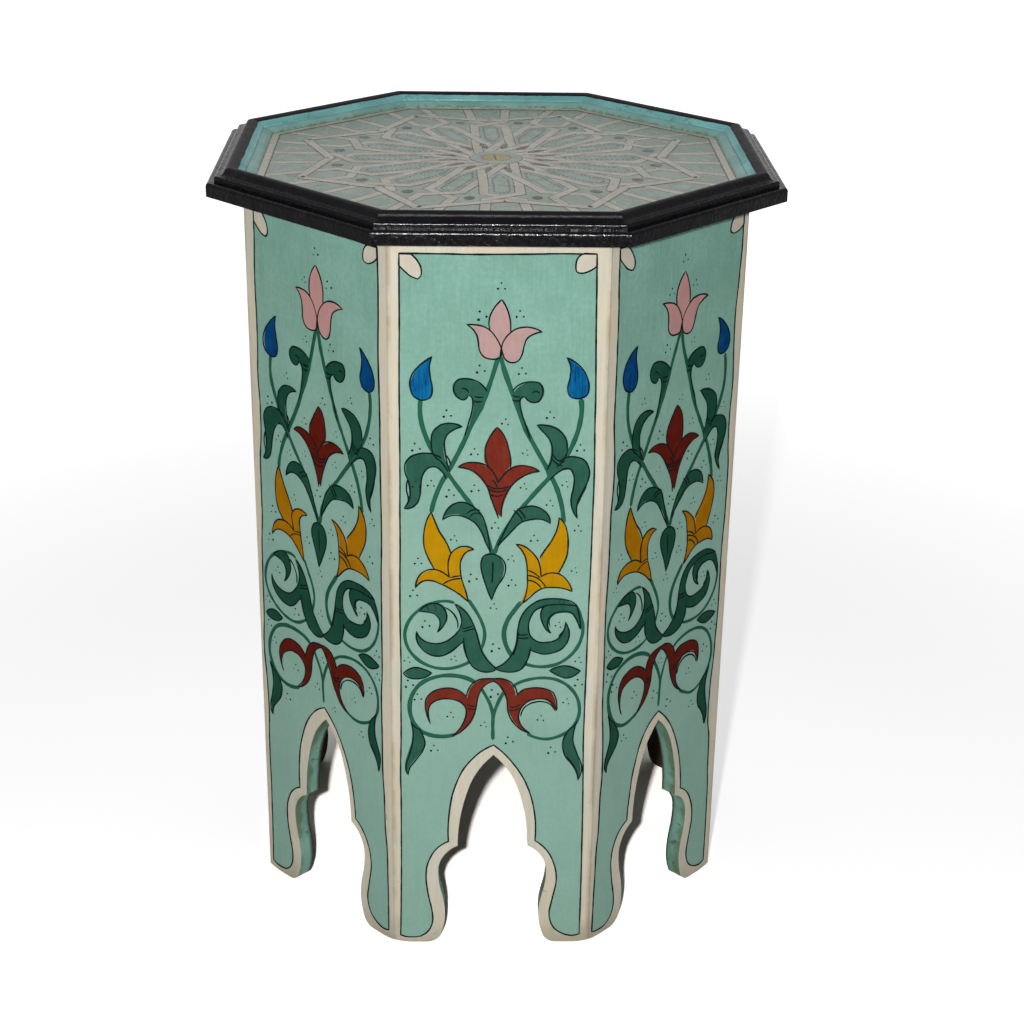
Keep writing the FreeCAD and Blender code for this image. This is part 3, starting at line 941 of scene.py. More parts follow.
# The motif as it stands on the front board, from the flower down to the arch
FIGURES = (
    Figure(Colour.CREAM, (
        ((-55, 510.8), (-51.3, 506.4), (-48.6, 500.5), (-48.8, 496.5)),
        ((-50.6, 494.4), (-55, 496), (-59, 499.5)),
        ((-62.6, 503.5),), ((-62.6, 510.8),))),
    Figure(Colour.CREAM, (
        ((52, 510.8), (48, 508.6), (46, 504.3), (46.4, 499.3), (49.4, 498.3),
         (53.7, 499.3)),
        ((59.2, 503),), ((59, 510.8),))),
    Figure(Colour.PINK, (
        ((-20.3, 465.7), (-15, 465.6), (-9.1, 464.2), (-5.4, 461.6), (-2, 456.7)),
        ((0.5, 450.4), (-0.2, 446)),
        ((-0.6, 443.6), (-5.6, 442.4), (-9.9, 443.4), (-12.9, 447.4), (-13.4, 452),
         (-14.2, 458), (-17, 463)))),
    Figure(Colour.PINK, (
        ((26.3, 461.9), (20.9, 463.8), (15, 464), (10.1, 462.7), (6.9, 460.4),
         (3, 456.1)),
        ((0.6, 450.4), (1.2, 446.5)),
        ((2.4, 443.6), (5.4, 441.3), (8.6, 440.7), (11.5, 442), (13.4, 446),
         (14.6, 451.6), (17, 457.4), (21.4, 460.4)))),
    Figure(Colour.PINK, (
        ((0.6, 481.6), (-3.4, 476.4), (-5.9, 469.5)),
        ((-5.4, 461.6), (-2, 456.7)), ((0.5, 450.4), (3, 456.1)),
        ((6.9, 460.4), (6.7, 469.5), (4, 476.4))), 1, (0, 3)),
    Figure(Colour.BLUE, (
        ((-42.7, 443.6), (-48.4, 439.3), (-54.4, 430.7), (-55.8, 423.6), (-53.4, 416.9),
         (-48.4, 414.9), (-43.4, 417), (-41.7, 422.4), (-43, 429.3), (-44.2, 436.4)),)),
    Figure(Colour.BLUE, (
        ((42.3, 444), (49.2, 439.3), (54.9, 432), (56.9, 425), (55.1, 419.3),
         (50.4, 416.9), (45.6, 418.3), (43.4, 423), (44.4, 430.3), (44.4, 438)),)),
    Figure(Colour.LEAF, (
        ((-7.4, 421.6), (-10.8, 425.4), (-14.9, 428.2), (-20.6, 429.7), (-25.8, 428.9),
         (-28.5, 425.6), (-28.7, 421.2), (-26.3, 417.4), (-22.7, 416.1)),
        ((-19.7, 419.4), (-17.7, 418.4), (-16.3, 414.6), (-16.6, 407.9), (-18.2, 400.6)),
        ((-21, 391.4), (-16.3, 400.8), (-12, 409.6))), 0, (0, 1)),
    Figure(Colour.LEAF, (
        ((9.5, 421.6), (12.3, 425), (16.6, 427.5), (21.4, 428.5), (26.4, 427.6),
         (28.6, 423.6), (28, 418.4), (25.4, 414.9), (21.4, 414.4)),
        ((16.9, 418.4), (14.4, 416.9), (13.6, 412), (14.8, 405), (17.4, 399)),
        ((21, 389.6), (17, 398), (12.8, 409))), 0, (0, 1)),
    Figure(Colour.LEAF, (
        ((-22.6, 397.7), (-29.1, 399.7), (-36.3, 398.6), (-41.2, 393.8), (-43, 387),
         (-42.6, 380)),
        ((-39, 374), (-34, 367)), ((-30.4, 366.6), (-33.2, 372.6), (-34.8, 379.3),
         (-34.9, 386.4), (-32.7, 392), (-28.6, 395.6))), 0, (0, 2)),
    Figure(Colour.LEAF, (
        ((24.4, 399.2), (30.9, 399.6), (38, 397.3), (43, 391.4), (44.2, 384.6),
         (42.6, 377.1)),
        ((37, 370), (33, 363.6)), ((31, 367.6), (33.4, 374), (34.2, 380.5),
         (33.6, 386.4), (31.4, 391.6), (28, 395.6))), 0, (0, 2)),
    Figure(Colour.LEAF, (
        ((-36.6, 375), (-42, 377.9), (-49.1, 379.1), (-55.4, 377.4), (-59.1, 372.9),
         (-59.3, 366.8), (-57.7, 360), (-57, 352.9), (-57.4, 345.7)),
        ((-60.4, 339.9), (-55.6, 340.4), (-52.4, 343), (-50.6, 348), (-50, 356),
         (-48.2, 364.3), (-45.4, 368.4), (-40.6, 369.6), (-36, 367)),
        ((-32.2, 361.4), (-30.6, 366))), 0, (0, 1)),
    Figure(Colour.LEAF, (
        ((38.6, 373.6), (43, 376.6), (49.4, 377), (55.1, 374.9), (58.3, 369),
         (58.2, 361.4), (55.1, 353), (52, 346)),
        ((52.4, 334.4), (48.8, 340.6), (47.7, 347.6), (49.3, 356.6), (49, 364.3),
         (46, 369.2), (41.4, 368.6), (37, 365)),
        ((33.4, 360.6), (32, 366))), 0, (0, 1)),
    Figure(Colour.RED, (
        ((-26, 369.8), (-22.7, 372.2), (-16.3, 373.2), (-10.8, 372.2), (-6.4, 369.2),
         (-2.2, 363.8)),
        ((0.1, 358.8), (1.8, 363)),
        ((5.9, 367.9), (10.1, 370.8), (15.6, 371.8), (22, 370.2)),
        ((26.8, 366.8), (19.4, 365.6), (12.3, 360.8), (7.3, 353), (4.4, 345.6)),
        ((2.4, 334.6), (-0.6, 337)),
        ((0.4, 333.4), (-4.1, 348.6), (-8.4, 357.8), (-13.4, 364.2),
         (-19.2, 368.4))), 0, (0, 2, 3, 5)),
    Figure(Colour.RED, (
        ((-0.2, 397.6), (-5.6, 388.8), (-8.4, 381.4), (-8.7, 375.6)),
        ((-7.2, 370), (-2.2, 363.8)), ((0.1, 358.8), (3, 364.4)),
        ((7.5, 370), (8, 375.8), (7.4, 383), (5, 391.2))), 1, (0, 1, 2, 3)),
    Figure(Colour.LEAF, (
        ((-35.7, 332.8), (-33.6, 338.5), (-29.3, 343.4), (-23.4, 345.1), (-17.4, 343),
         (-12.4, 338.6), (-8, 329), (-5, 319)),
        ((-3.4, 309.6), (-6.2, 315.4), (-10.4, 324.3), (-16.6, 332.2), (-23, 335.8),
         (-29.9, 336)))),
    Figure(Colour.LEAF, (
        ((34.5, 331), (33, 337.1), (28, 342), (21, 343.4), (14.8, 341.2), (9.4, 334),
         (4.6, 324.6)),
        ((0.6, 314), (5, 319.6), (10.6, 326), (16.6, 332), (22.6, 334.1),
         (30, 333.7)))),
    Figure(Colour.YELLOW, (
        ((-43, 338), (-47, 330), (-48.4, 321.4), (-47.7, 312.9), (-44.9, 305)),
        ((-40.2, 296.4), (-34.1, 294.2)), ((-29.8, 290.6), (-31, 297.1), (-31.1, 303.6)),
        ((-30.2, 308), (-34.1, 317), (-38.4, 324.6), (-41.3, 332.6))), 0, (0, 3)),
    Figure(Colour.YELLOW, (
        ((40.1, 335.2), (44.4, 330), (46.9, 321.4), (46.6, 312.9), (44.9, 304)),
        ((41.4, 294.9), (35.1, 295)), ((29.9, 292.4), (29.4, 298.6)),
        ((28.4, 306), (30.9, 310.7), (35.9, 318.6), (39.4, 327.1))), 0, (0, 3)),
    Figure(Colour.YELLOW, (
        ((-53.2, 282.6), (-52.7, 286.6), (-50.2, 291.7), (-44.9, 295.2), (-39.1, 295.9),
         (-34.1, 294.2)),
        ((-29.8, 290.6), (-24, 283)),
        ((-17.4, 273.4), (-22, 277.3), (-27.7, 281.5), (-34.9, 285.5), (-42, 287.5),
         (-48.4, 287))), 0, (0, 2)),
    Figure(Colour.YELLOW, (
        ((50, 281.4), (48.7, 286.6), (45.9, 291.3), (40.9, 294.7), (35.1, 295)),
        ((29.9, 292.4), (22, 283)),
        ((16.6, 272.4), (20.9, 276.6), (25.1, 280.7), (30.9, 284.1), (38, 284.8),
         (45.1, 283.9))), 0, (0, 2)),
    Figure(Colour.YELLOW, (
        ((-14, 310.6), (-19.1, 312.6), (-24.9, 312.1), (-29.4, 309), (-31.2, 303.6),
         (-31, 297.1)),
        ((-29.8, 290.6), (-25, 283)),
        ((-17.4, 273.4), (-19.9, 281.4), (-22, 287.1), (-23.4, 295.7), (-23.1, 302.9),
         (-19.9, 308.2))), 0, (0, 2)),
    Figure(Colour.YELLOW, (
        ((12, 315.2), (17.3, 313.9), (23, 310), (27.3, 305), (29.4, 298.6)),
        ((29.9, 292.4), (24, 282)),
        ((16.6, 272.4), (19.4, 281.4), (20.7, 288), (20.7, 294), (19.9, 301.4),
         (17, 309.3))), 0, (0, 2)),
    Figure(Colour.LEAF, (
        ((-2.4, 308.2), (-7.2, 306.8), (-10.2, 301), (-9.3, 293), (-6.4, 285)),
        ((-2.7, 274.8), (1.4, 286), (5, 294.4), (5.2, 300.4), (2.6, 305.6)))),
    Figure(Colour.LEAF, (
        ((-26.6, 271.8), (-19.1, 265.9), (-14.8, 257.2), (-10.8, 245.7), (-8.2, 236.6),
         (-3.4, 228.6)),
        ((1.2, 223.7),), ((0.4, 221.8), (-6.3, 220.7), (-12.2, 223), (-17, 228.6),
         (-19.4, 235.7)),
        ((-20.6, 243), (-24.4, 240), (-29.4, 235.9), (-36.3, 233.1), (-42.7, 233.6),
         (-48.4, 237.1), (-52, 243)),
        ((-52.9, 250.9), (-51, 247), (-47.5, 244), (-40.6, 241.9), (-33.4, 243),
         (-27.7, 247.1), (-24, 252.9), (-22.6, 258.8), (-23.4, 265.7)))),
    Figure(Colour.LEAF, (
        ((0.4, 223.4), (4, 221.4), (8.4, 220.4), (14, 220.9), (19.4, 224.3),
         (22.4, 230.4)),
        ((23.4, 238.4), (27, 236.2), (32.6, 234.3), (39.4, 235.4), (45.1, 238.8),
         (48.8, 244.4), (50.1, 251.4)),
        ((47.2, 258.4), (45.9, 251.4), (42.3, 246.5), (35.2, 243.9), (28.4, 244.5),
         (24, 248.6), (22.5, 254.3), (23.4, 261.4), (26.8, 267), (32.6, 270),
         (40.9, 271.4), (48, 270.9)),
        ((54.6, 270), (50.9, 273), (45, 275.5), (36.6, 276.1), (28, 274.3),
         (21, 269.3), (17.2, 262.7), (15.3, 254.3), (14.3, 245.7), (12.4, 237),
         (9, 230)))),
    Figure(Colour.LEAF, (
        ((-51, 266.2), (-45.8, 270.6), (-40.6, 272.1), (-36, 271.2), (-33, 267.7),
         (-32.2, 262.1), (-34.1, 256.3)),
        ((-38.9, 250.2), (-37, 255.7), (-37.3, 260.7), (-40, 264.3), (-44.9, 265.6)))),
    Figure(Colour.LEAF, (
        ((33, 270.4), (31, 267.4), (30.6, 262.6), (32.2, 257.6), (34.4, 253.6)),
        ((37.9, 250.5), (35.6, 255.9), (35.7, 260), (38.9, 264), (45, 265.8),
         (51, 264.9), (54.6, 260.6)),
        ((57.4, 254), (56.8, 262)), ((54, 269.8), (47, 271), (40, 271.6))), 0, (0, 1, 2)),
    Figure(Colour.LEAF, (
        ((-60.8, 219.4), (-57, 222.6), (-52.7, 223.9), (-47.4, 222.8)),
        ((-43, 220.3), (-47.4, 216.6), (-52.4, 215.6), (-57.4, 216.4)))),
    Figure(Colour.LEAF, (
        ((37.2, 221.5), (42, 224.1), (48, 225), (53.6, 223.8)),
        ((58.2, 221.3), (53.2, 217.4), (48.4, 216), (43, 217.6)))),
    Figure(Colour.RED, (
        ((-0.6, 215.5), (-5, 215.3), (-9.6, 214.4), (-14, 211.5), (-17, 206.4)),
        ((-18.3, 200.6), (-22, 205), (-27.7, 207.9), (-34.9, 208.2), (-41.3, 205.5),
         (-45.5, 200), (-46.7, 193), (-45.7, 186)),
        ((-43.4, 179.8), (-45, 188.4), (-42.8, 195), (-37.2, 198.9), (-30.6, 199.7),
         (-23.8, 197.5), (-19.5, 192.9), (-18.8, 185.7), (-21.6, 178.6)),
        ((-28, 171.5), (-22, 174.2), (-17, 179.2), (-14, 184.4), (-12, 191.4),
         (-10.6, 201.4), (-7.8, 208.2), (-4, 212)),
        ((-0.6, 213.5),))),
    Figure(Colour.RED, (
        ((-0.6, 215.5), (3.4, 215.5), (8.4, 213.9), (12.4, 209.7)),
        ((14.5, 202.6), (18, 206.4), (25.1, 208.7), (32.4, 208.3), (38.6, 205),
         (41.4, 198.8)),
        ((42, 189.9), (39.9, 194.4), (36.4, 198.2), (29.5, 200.4), (22.6, 198.6),
         (18.5, 193.6), (17.2, 187), (19.4, 179.4)),
        ((25.3, 172.4), (19.4, 175.7), (13.6, 183), (9.8, 191.4), (7.8, 200.4),
         (4.8, 207.2), (1.8, 211.6)),
        ((-0.6, 213.5),))),
    Figure(Colour.LEAF, (
        ((-57.2, 182.4), (-55.8, 174.6), (-56, 167), (-58.4, 157.1), (-60.2, 148.6),
         (-60, 143)),
        ((-58.4, 139.8), (-57.6, 145.7), (-54.2, 151.4), (-48.7, 159.6), (-47, 165.8),
         (-48.6, 171.6)),
        ((-51.6, 176.4), (-54.8, 178.8)))),
    Figure(Colour.LEAF, (
        ((57.4, 182.4), (55.2, 174.6), (54.8, 167), (57.3, 157.1), (60, 148),
         (60, 142)),
        ((58.3, 135.6), (57, 141.6), (53.7, 148.6), (48.8, 155.8), (47.5, 163),
         (49, 171)),
        ((52.6, 176.6), (55.4, 179)))),
)

# The thick stems, and the thinner stems and rings
STEMS: tuple[Run, ...] = (
    ((-0.4, 445), (-3.2, 435.6), (-7.4, 422.6), (-12, 409.6), (-16.3, 400.8), (-23.4, 384.3),
     (-30.6, 369), (-36.3, 358.2), (-40.2, 348), (-42.9, 337)),
    ((0.6, 445), (3, 436.4), (7.6, 423.4), (12.8, 409), (18.4, 394.8), (26.4, 379.4),
     (33.7, 366), (38.7, 354.8), (41.6, 344.6), (43.6, 331)),
    ((-49.4, 415.4), (-50, 407), (-48.9, 399), (-46, 389.6), (-42, 380.4), (-37.4, 372.8),
     (-32.4, 365.6), (-25, 354.6), (-17, 343), (-10, 329.4), (-5, 316.6), (-2.8, 308)),
    ((51.8, 417), (52.7, 408), (51.8, 399), (49, 388.6), (44.6, 378.6), (39.6, 371.4),
     (33.2, 362.4), (25, 352.8), (16.6, 342.4), (9.6, 332.6), (4, 322.4), (0.4, 314),
     (-1.4, 308)),
    ((17.4, 274), (12.3, 267), (8, 259.6), (5.9, 251.4), (6.8, 242.6), (11.8, 232.6)),
    ((-12.4, 212), (-17, 215), (-23, 217), (-31, 217.9), (-41, 216.3), (-50.4, 211.2),
     (-56.2, 201.4), (-57.4, 192.4), (-55.6, 183), (-50.6, 175.2), (-43.4, 171.3), (-35, 170.3),
     (-26, 172.2)),
)
RINGS: tuple[Run, ...] = (
    ((-18.4, 275), (-13.4, 267), (-9.2, 258.6), (-7, 250), (-7.9, 242), (-10.4, 236)),
    ((-27, 271.8), (-31, 273.2), (-36.3, 273.2), (-43.4, 271.4), (-50.6, 267), (-57.4, 259),
     (-60.4, 248.8), (-57.9, 237.4), (-50.8, 228.8), (-41, 223.9), (-32, 223), (-23.6, 224.9),
     (-16, 229)),
    ((53.4, 270.6), (57.2, 262), (58.6, 252.6), (56.6, 242.6), (50.9, 233), (42.3, 226.5),
     (33.7, 224.5), (26.6, 225), (19, 227.4)),
    ((11.4, 208.6), (15.6, 212), (22, 214.6), (31, 216), (42.2, 214.2), (50.9, 208.5),
     (56.6, 200), (58.2, 191.4), (57, 183.4), (52.3, 175.7), (45.1, 170.6), (36.6, 168.4),
     (28, 170.2), (22.6, 173)),
    ((-0.6, 167.4), (-0.7, 178), (-0.9, 188), (-2.9, 196), (-6.4, 203.4), (-9.8, 209.6)),
    ((-0.6, 176), (-0.4, 186), (1.2, 193), (3.8, 200), (7.4, 207)),
)

# Pen lines inside and beside the figures
PEN_LINES: tuple[Run, ...] = (
    ((0.5, 450.6), (0.5, 445)),
    ((-7.6, 357), (-3.4, 355.2), (0.4, 354.8), (4.4, 355.4), (8.4, 357.2)),
    ((-6.4, 354.8), (-2.6, 353), (0.6, 352.6), (4, 353.2), (7, 354.8)),
    ((-5.4, 351), (-2, 349.8), (1, 349.6), (5, 351)), ((-4.6, 361), (-1.2, 358), (0, 355)),
    ((-9.4, 418.4), (-12.6, 418), (-15.6, 418.8)), ((-9.8, 415.6), (-13, 415), (-16, 415.8)),
    ((8.8, 416), (11.2, 415), (13.8, 415.4)), ((9, 419), (11.6, 418), (14.2, 418)),
    ((-19.5, 421), (-21.6, 423.2), (-24, 423.4)), ((22, 421.2), (24.6, 422.4), (26.6, 421)),
    ((-34.8, 378), (-31.6, 373.6), (-30.8, 371)), ((-41, 376), (-36, 372), (-31.8, 366.6)),
    ((-58, 361), (-59.4, 353), (-57.8, 345), (-58.6, 342)),
    ((34.4, 378.6), (38, 374.4), (42.4, 374)), ((33, 377), (36.6, 372.8), (41, 371)),
    ((44, 370), (39.4, 367.4), (34.8, 362)), ((57.2, 357), (54, 349), (51, 342.4)),
    ((-20, 337), (-15.4, 340), (-11.6, 339.2)), ((-18.4, 334.6), (-14, 337.6), (-10.4, 336)),
    ((11.4, 340.4), (14.6, 337), (16.6, 333)), ((13.6, 341.8), (16.8, 338.4), (18.6, 334.4)),
    ((-29.6, 290.7), (-26.3, 291.7), (-22.7, 292.2)),
    ((-33.8, 285.6), (-31.6, 287.4), (-29.1, 288.9), (-22.4, 290)),
    ((20.9, 297), (24.6, 295.6), (29.4, 291.4)),
    ((20.9, 293.4), (26.6, 292), (30.3, 289), (32.6, 284.3)),
    ((20.9, 290), (25.9, 288.4), (29.4, 284)),
    ((-2.6, 303), (-2.8, 296), (-2.6, 288)),
    ((-22.4, 252.6), (-18, 253.6), (-13.8, 255.4)), ((-22, 250.4), (-17.6, 251.4), (-13, 253)),
    ((-33, 269.6), (-28.4, 266), (-25.6, 259.6), (-25.6, 253)),
    ((-20.8, 246), (-20.4, 238), (-17.8, 230.4)),
    ((15, 250), (18.6, 249.4), (22.4, 250)), ((14.8, 247.6), (18.6, 247), (23.2, 247.6)),
    ((12.2, 233), (14.2, 242), (16, 252)), ((23.6, 240), (23, 232), (20, 226)),
    ((37.4, 255), (36.8, 260.4), (40.4, 264.4)), ((43, 248.6), (46.6, 253.4), (47.2, 257.6)),
    ((42.4, 275.8), (41.4, 271.4)), ((45.2, 275.3), (44.2, 270.8)),
    ((-45.4, 270.6), (-43.4, 266)), ((-39.8, 272), (-38.6, 266.4)),
    ((-18, 194.6), (-14.8, 193.4), (-11.8, 193.8)), ((-18.2, 192), (-15, 191), (-12, 191.6)),
    ((10.4, 195), (14.4, 194.6), (17.6, 196.4)), ((10.6, 192.6), (14.6, 192.4), (17.8, 193.6)),
    ((18.8, 187), (20.4, 193.4), (25, 197.2), (31, 198), (36.6, 195.6), (40.8, 190)),
    ((-9.4, 211.6), (-5, 214.4)), ((3.4, 214.4), (7, 211)),
    ((49.8, 155), (54.8, 147.4), (57.8, 139.6)),
)

DOT_GROUPS: Run = (
    (0.4, 490), (-11.6, 471), (12.4, 472), (-12, 436), (14.5, 435), (-33, 406), (33, 405.5),
    (4.6, 401), (-53, 383), (53, 383), (-43, 357.6), (44, 358), (-15, 380), (18, 380),
    (-30.6, 350.6), (-14.6, 354.4), (17, 356.4), (34.2, 344.6), (-1.4, 328), (-28, 319),
    (24.4, 319.6), (53, 327), (-51.6, 302), (10, 305), (51.6, 297), (-15.6, 290.6), (10.6, 287),
    (-54.4, 278.6), (-1.2, 269.6), (-46.4, 256), (42.2, 256.6), (-0.4, 238.8), (-27.4, 230.4),
    (-59, 229.4), (56.2, 229), (-58, 211), (56.6, 211.6), (-0.6, 204), (49, 197.6), (-29.6, 187),
    (32, 184.6), (-6.8, 179.6), (10.4, 167), (-40.6, 160.4), (40, 159), (-53, 357), (-52, 200.6),
)

# The pen line around the ground, anticlockwise from the arch's left foot
ARCH_LINE: tuple[Run, ...] = (
    ((-65, 6.6), (-62, 5.4), (-56.3, 4.8), (-50.6, 5.6), (-46.2, 8.8), (-43, 14.3), (-42, 21.4),
     (-42.7, 28.6), (-44.4, 37), (-46, 47), (-46.7, 57), (-46, 65), (-43.7, 72), (-39.8, 78.8),
     (-35.6, 82.8)),
    ((-30.9, 85.6), (-31.1, 94), (-30.6, 104), (-29.6, 114), (-28, 124), (-25, 134),
     (-20.6, 144.3), (-15, 152), (-8.6, 158.4)),
    ((0, 163.5), (7.4, 156.6), (13.7, 148.8), (19.4, 140), (24, 130), (27, 120), (28.9, 110),
     (29.9, 100), (30, 93)),
    ((29.8, 86.2), (34.6, 82.4), (39.4, 76.4), (43, 68.6), (45.1, 60), (45.4, 51.4), (44, 43),
     (42.3, 34), (41, 25.7), (41.9, 18.6), (45.1, 12), (49.4, 8.6), (53.7, 6.6), (58, 6)),
    ((63, 7.4), (63, 60), (62.4, 110), (61.6, 210), (62.2, 300), (62, 380), (60.6, 440)),
    ((59, 510.8), (20, 511), (-20, 510.6)),
    ((-62.4, 510.8), (-62.8, 450), (-63.2, 380), (-63.4, 250), (-63.4, 120), (-64, 60)),
)

# How far each visible board's painting strays from the motif, spot by spot
STRAY_SPOTS: Run = (
    (0, 480), (0, 458), (-49, 428), (50, 429), (-22, 418), (22, 418), (-33, 385), (34, 385),
    (-55, 368), (54, 366), (0, 390), (0, 362), (1, 340), (-33, 365), (34, 364), (-25, 341),
    (24, 340), (-44, 320), (43, 320), (-38, 289), (36, 289), (-2, 296), (-44, 269), (44, 271),
    (-24, 252), (24, 252), (0, 226), (-52, 219), (49, 220), (-32, 204), (28, 204), (-22, 182),
    (22, 182), (0, 213), (-52, 168), (52, 165), (-58, 146), (57, 143), (-57, 192), (57, 192),
    (-54, 505), (52, 505), (0, 511), (0, 160), (-40, 70), (40, 70), (-58, 20), (58, 20),
    (-62, 110), (62, 110),
)
STRAYS: dict[str, Run] = {
    "front": (
        (1, -0.3), (0.6, -0.2), (0.4, 0.4), (1, -0.5), (1, -0.9), (0.6, -1.3), (0.7, -1),
        (0.3, -0.8), (0.8, -0.7), (0.7, -0.8), (0, -1.2), (0.6, -1.1), (0.8, -0.6), (0.2, -0.6),
        (0, -1), (0, -0.3), (0.5, -1.3), (0.7, -0.9), (0.4, -1.6), (0.2, -0.1), (0.4, -1.4),
        (0, -1.2), (0, -0.8), (0, -1.4), (-0.1, -0.4), (0, -1.6), (0.3, -0.8), (0.5, -0.9),
        (0.2, -0.2), (0, -0.9), (0.1, -1), (-0.1, -0.9), (-0.3, -1.1), (0, -1.2), (0, -0.4),
        (-0.5, -0.4), (-0.8, -0.8), (0, -0.8), (0, -0.6), (-0.1, -0.8), (0.5, 0), (1, 0.3),
        (1, -0.3), (0, -0.5), (0, -0.5), (0, -0.5), (0, -0.5), (0, -0.5), (-0.3, -0.8),
        (0.2, -0.8),
    ),
    "front_left": (
        (1.3, 8.4), (1.5, 2), (3.3, 0.9), (-0.8, -1.7), (1.5, -1.6), (-0.6, 0.3), (2.4, -0.4),
        (-0.9, -3), (4.2, -1), (-1.7, -1.6), (1, -7.5), (-0.6, -1.3), (-1.3, 0.9), (0, -0.8),
        (-2.7, -2.6), (-0.4, -0.3), (-1.3, -3.2), (1.5, -2), (-1.2, -3.5), (2.8, 1), (-3.3, -0.3),
        (1.3, -1.8), (-0.8, 0.4), (-2, -2.6), (-2, -0.4), (-2.3, -1.6), (-2.7, -0.6), (-0.8, 0),
        (-1.7, -1.9), (-0.6, -3.6), (-0.5, -1.7), (-1.8, -2.2), (-1.6, -2.1), (-1.6, -3.4),
        (-0.5, -4.1), (-3, -1.3), (0.4, -5), (-3.4, 0), (-3, -3), (-3.3, -1.4), (3.5, 3),
        (1.3, 1.5), (1.9, 4), (-1, 1), (0, 0), (0, 0), (0, 0), (0, 0), (-0.7, -1), (-2, -0.7),
    ),
    "front_right": (
        (3.7, 3.7), (3.2, 1.2), (2.2, 1.6), (-0.5, 1.8), (1.2, -1.1), (2.4, 0.4), (0, -2.9),
        (1.6, -2.3), (4.6, -5.8), (-1.6, -3.7), (3, -5.2), (1.4, -3.2), (2.3, -2.2), (0.2, -3.3),
        (0.8, -2.3), (1, -4), (1.6, -3.7), (2.5, -5), (1, -1.8), (2.9, -2.9), (0.9, -1.8),
        (3, -2.8), (0.5, -4.2), (-0.9, -0.8), (0, -3.2), (0.2, -1.6), (-1.5, -1.1), (1.1, 0),
        (0.4, -0.3), (0.2, 1.2), (0.5, -0.3), (1.3, -0.9), (-0.9, -2.5), (-0.8, -1.3), (3.1, -6),
        (-4.2, -6.5), (3.4, -5.3), (-4.6, -6), (0.7, 0), (-1.3, -2.7), (0.8, 2.5), (4.3, 3),
        (2.9, 4), (-1, -0.7), (0, 0), (0, 0), (0, 0), (0, 0), (2, -2), (-1.5, -2),
    ),
}


@dataclass(frozen=True)
class Board:
    """The outer face of one side board, seen from outside."""

    name: str
    angle: float
    apothem: float
    drift: float
    seed: float
    near_reach: float = 11.0
    far_reach: float = 36.0
    far_share: float = 0.04

    @property
    def facing(self) -> Vector:
        """The way the face looks."""
        return Vector((math.cos(self.angle), math.sin(self.angle), 0.0))

    def place(self, across: float, up: float, lift: float) -> Vector:
        """The point of the face at a spot in millimetres.

        Args:
            across, up: the spot, from the middle line and from the floor.
            lift: how far it stands out of the wood, in millimetres.

        Returns:
            The point, in metres. It drifts a little where the hand differs.
        """
        sway = noise.noise_vector(Vector((across / 45, up / 45, self.seed))) * self.drift
        share = 0.0
        for spot, stray in zip(STRAY_SPOTS, STRAYS.get(self.name, ())):
            gap = (across - spot[0]) ** 2 + (up - spot[1]) ** 2
            weight = math.exp(-gap / (2 * self.near_reach ** 2))
            weight += math.exp(-gap / (2 * self.far_reach ** 2)) * self.far_share
            sway += Vector((*stray, 0.0)) * weight
            share += weight
        if share:
            sway /= share
        across, up = across + sway.x, up + sway.y
        along = Vector((-math.sin(self.angle), math.cos(self.angle), 0.0))
        spot = self.facing * (self.apothem + lift * MM) + along * (across * MM)
        return spot + Vector((0.0, 0.0, up * MM))


@dataclass(frozen=True)
class Brush:
    """A brush or a pen and how it is held, in millimetres."""

    colour: Colour
    width: float
    height: float
    waver: float
    taper: float
    lift: float = 0.0


STEM_BRUSH = Brush(Colour.STEM, 3.5, 0.3, 0.35, 2.0)
RING_BRUSH = Brush(Colour.STEM, 2.7, 0.3, 0.35, 2.0)
PEN = Brush(Colour.INK, 1.15, 0.32, 0.5, 1.5, 0.2)
BORDER_PEN = Brush(Colour.INK, 1.2, 0.32, 0.5, 1.5, 0.2)


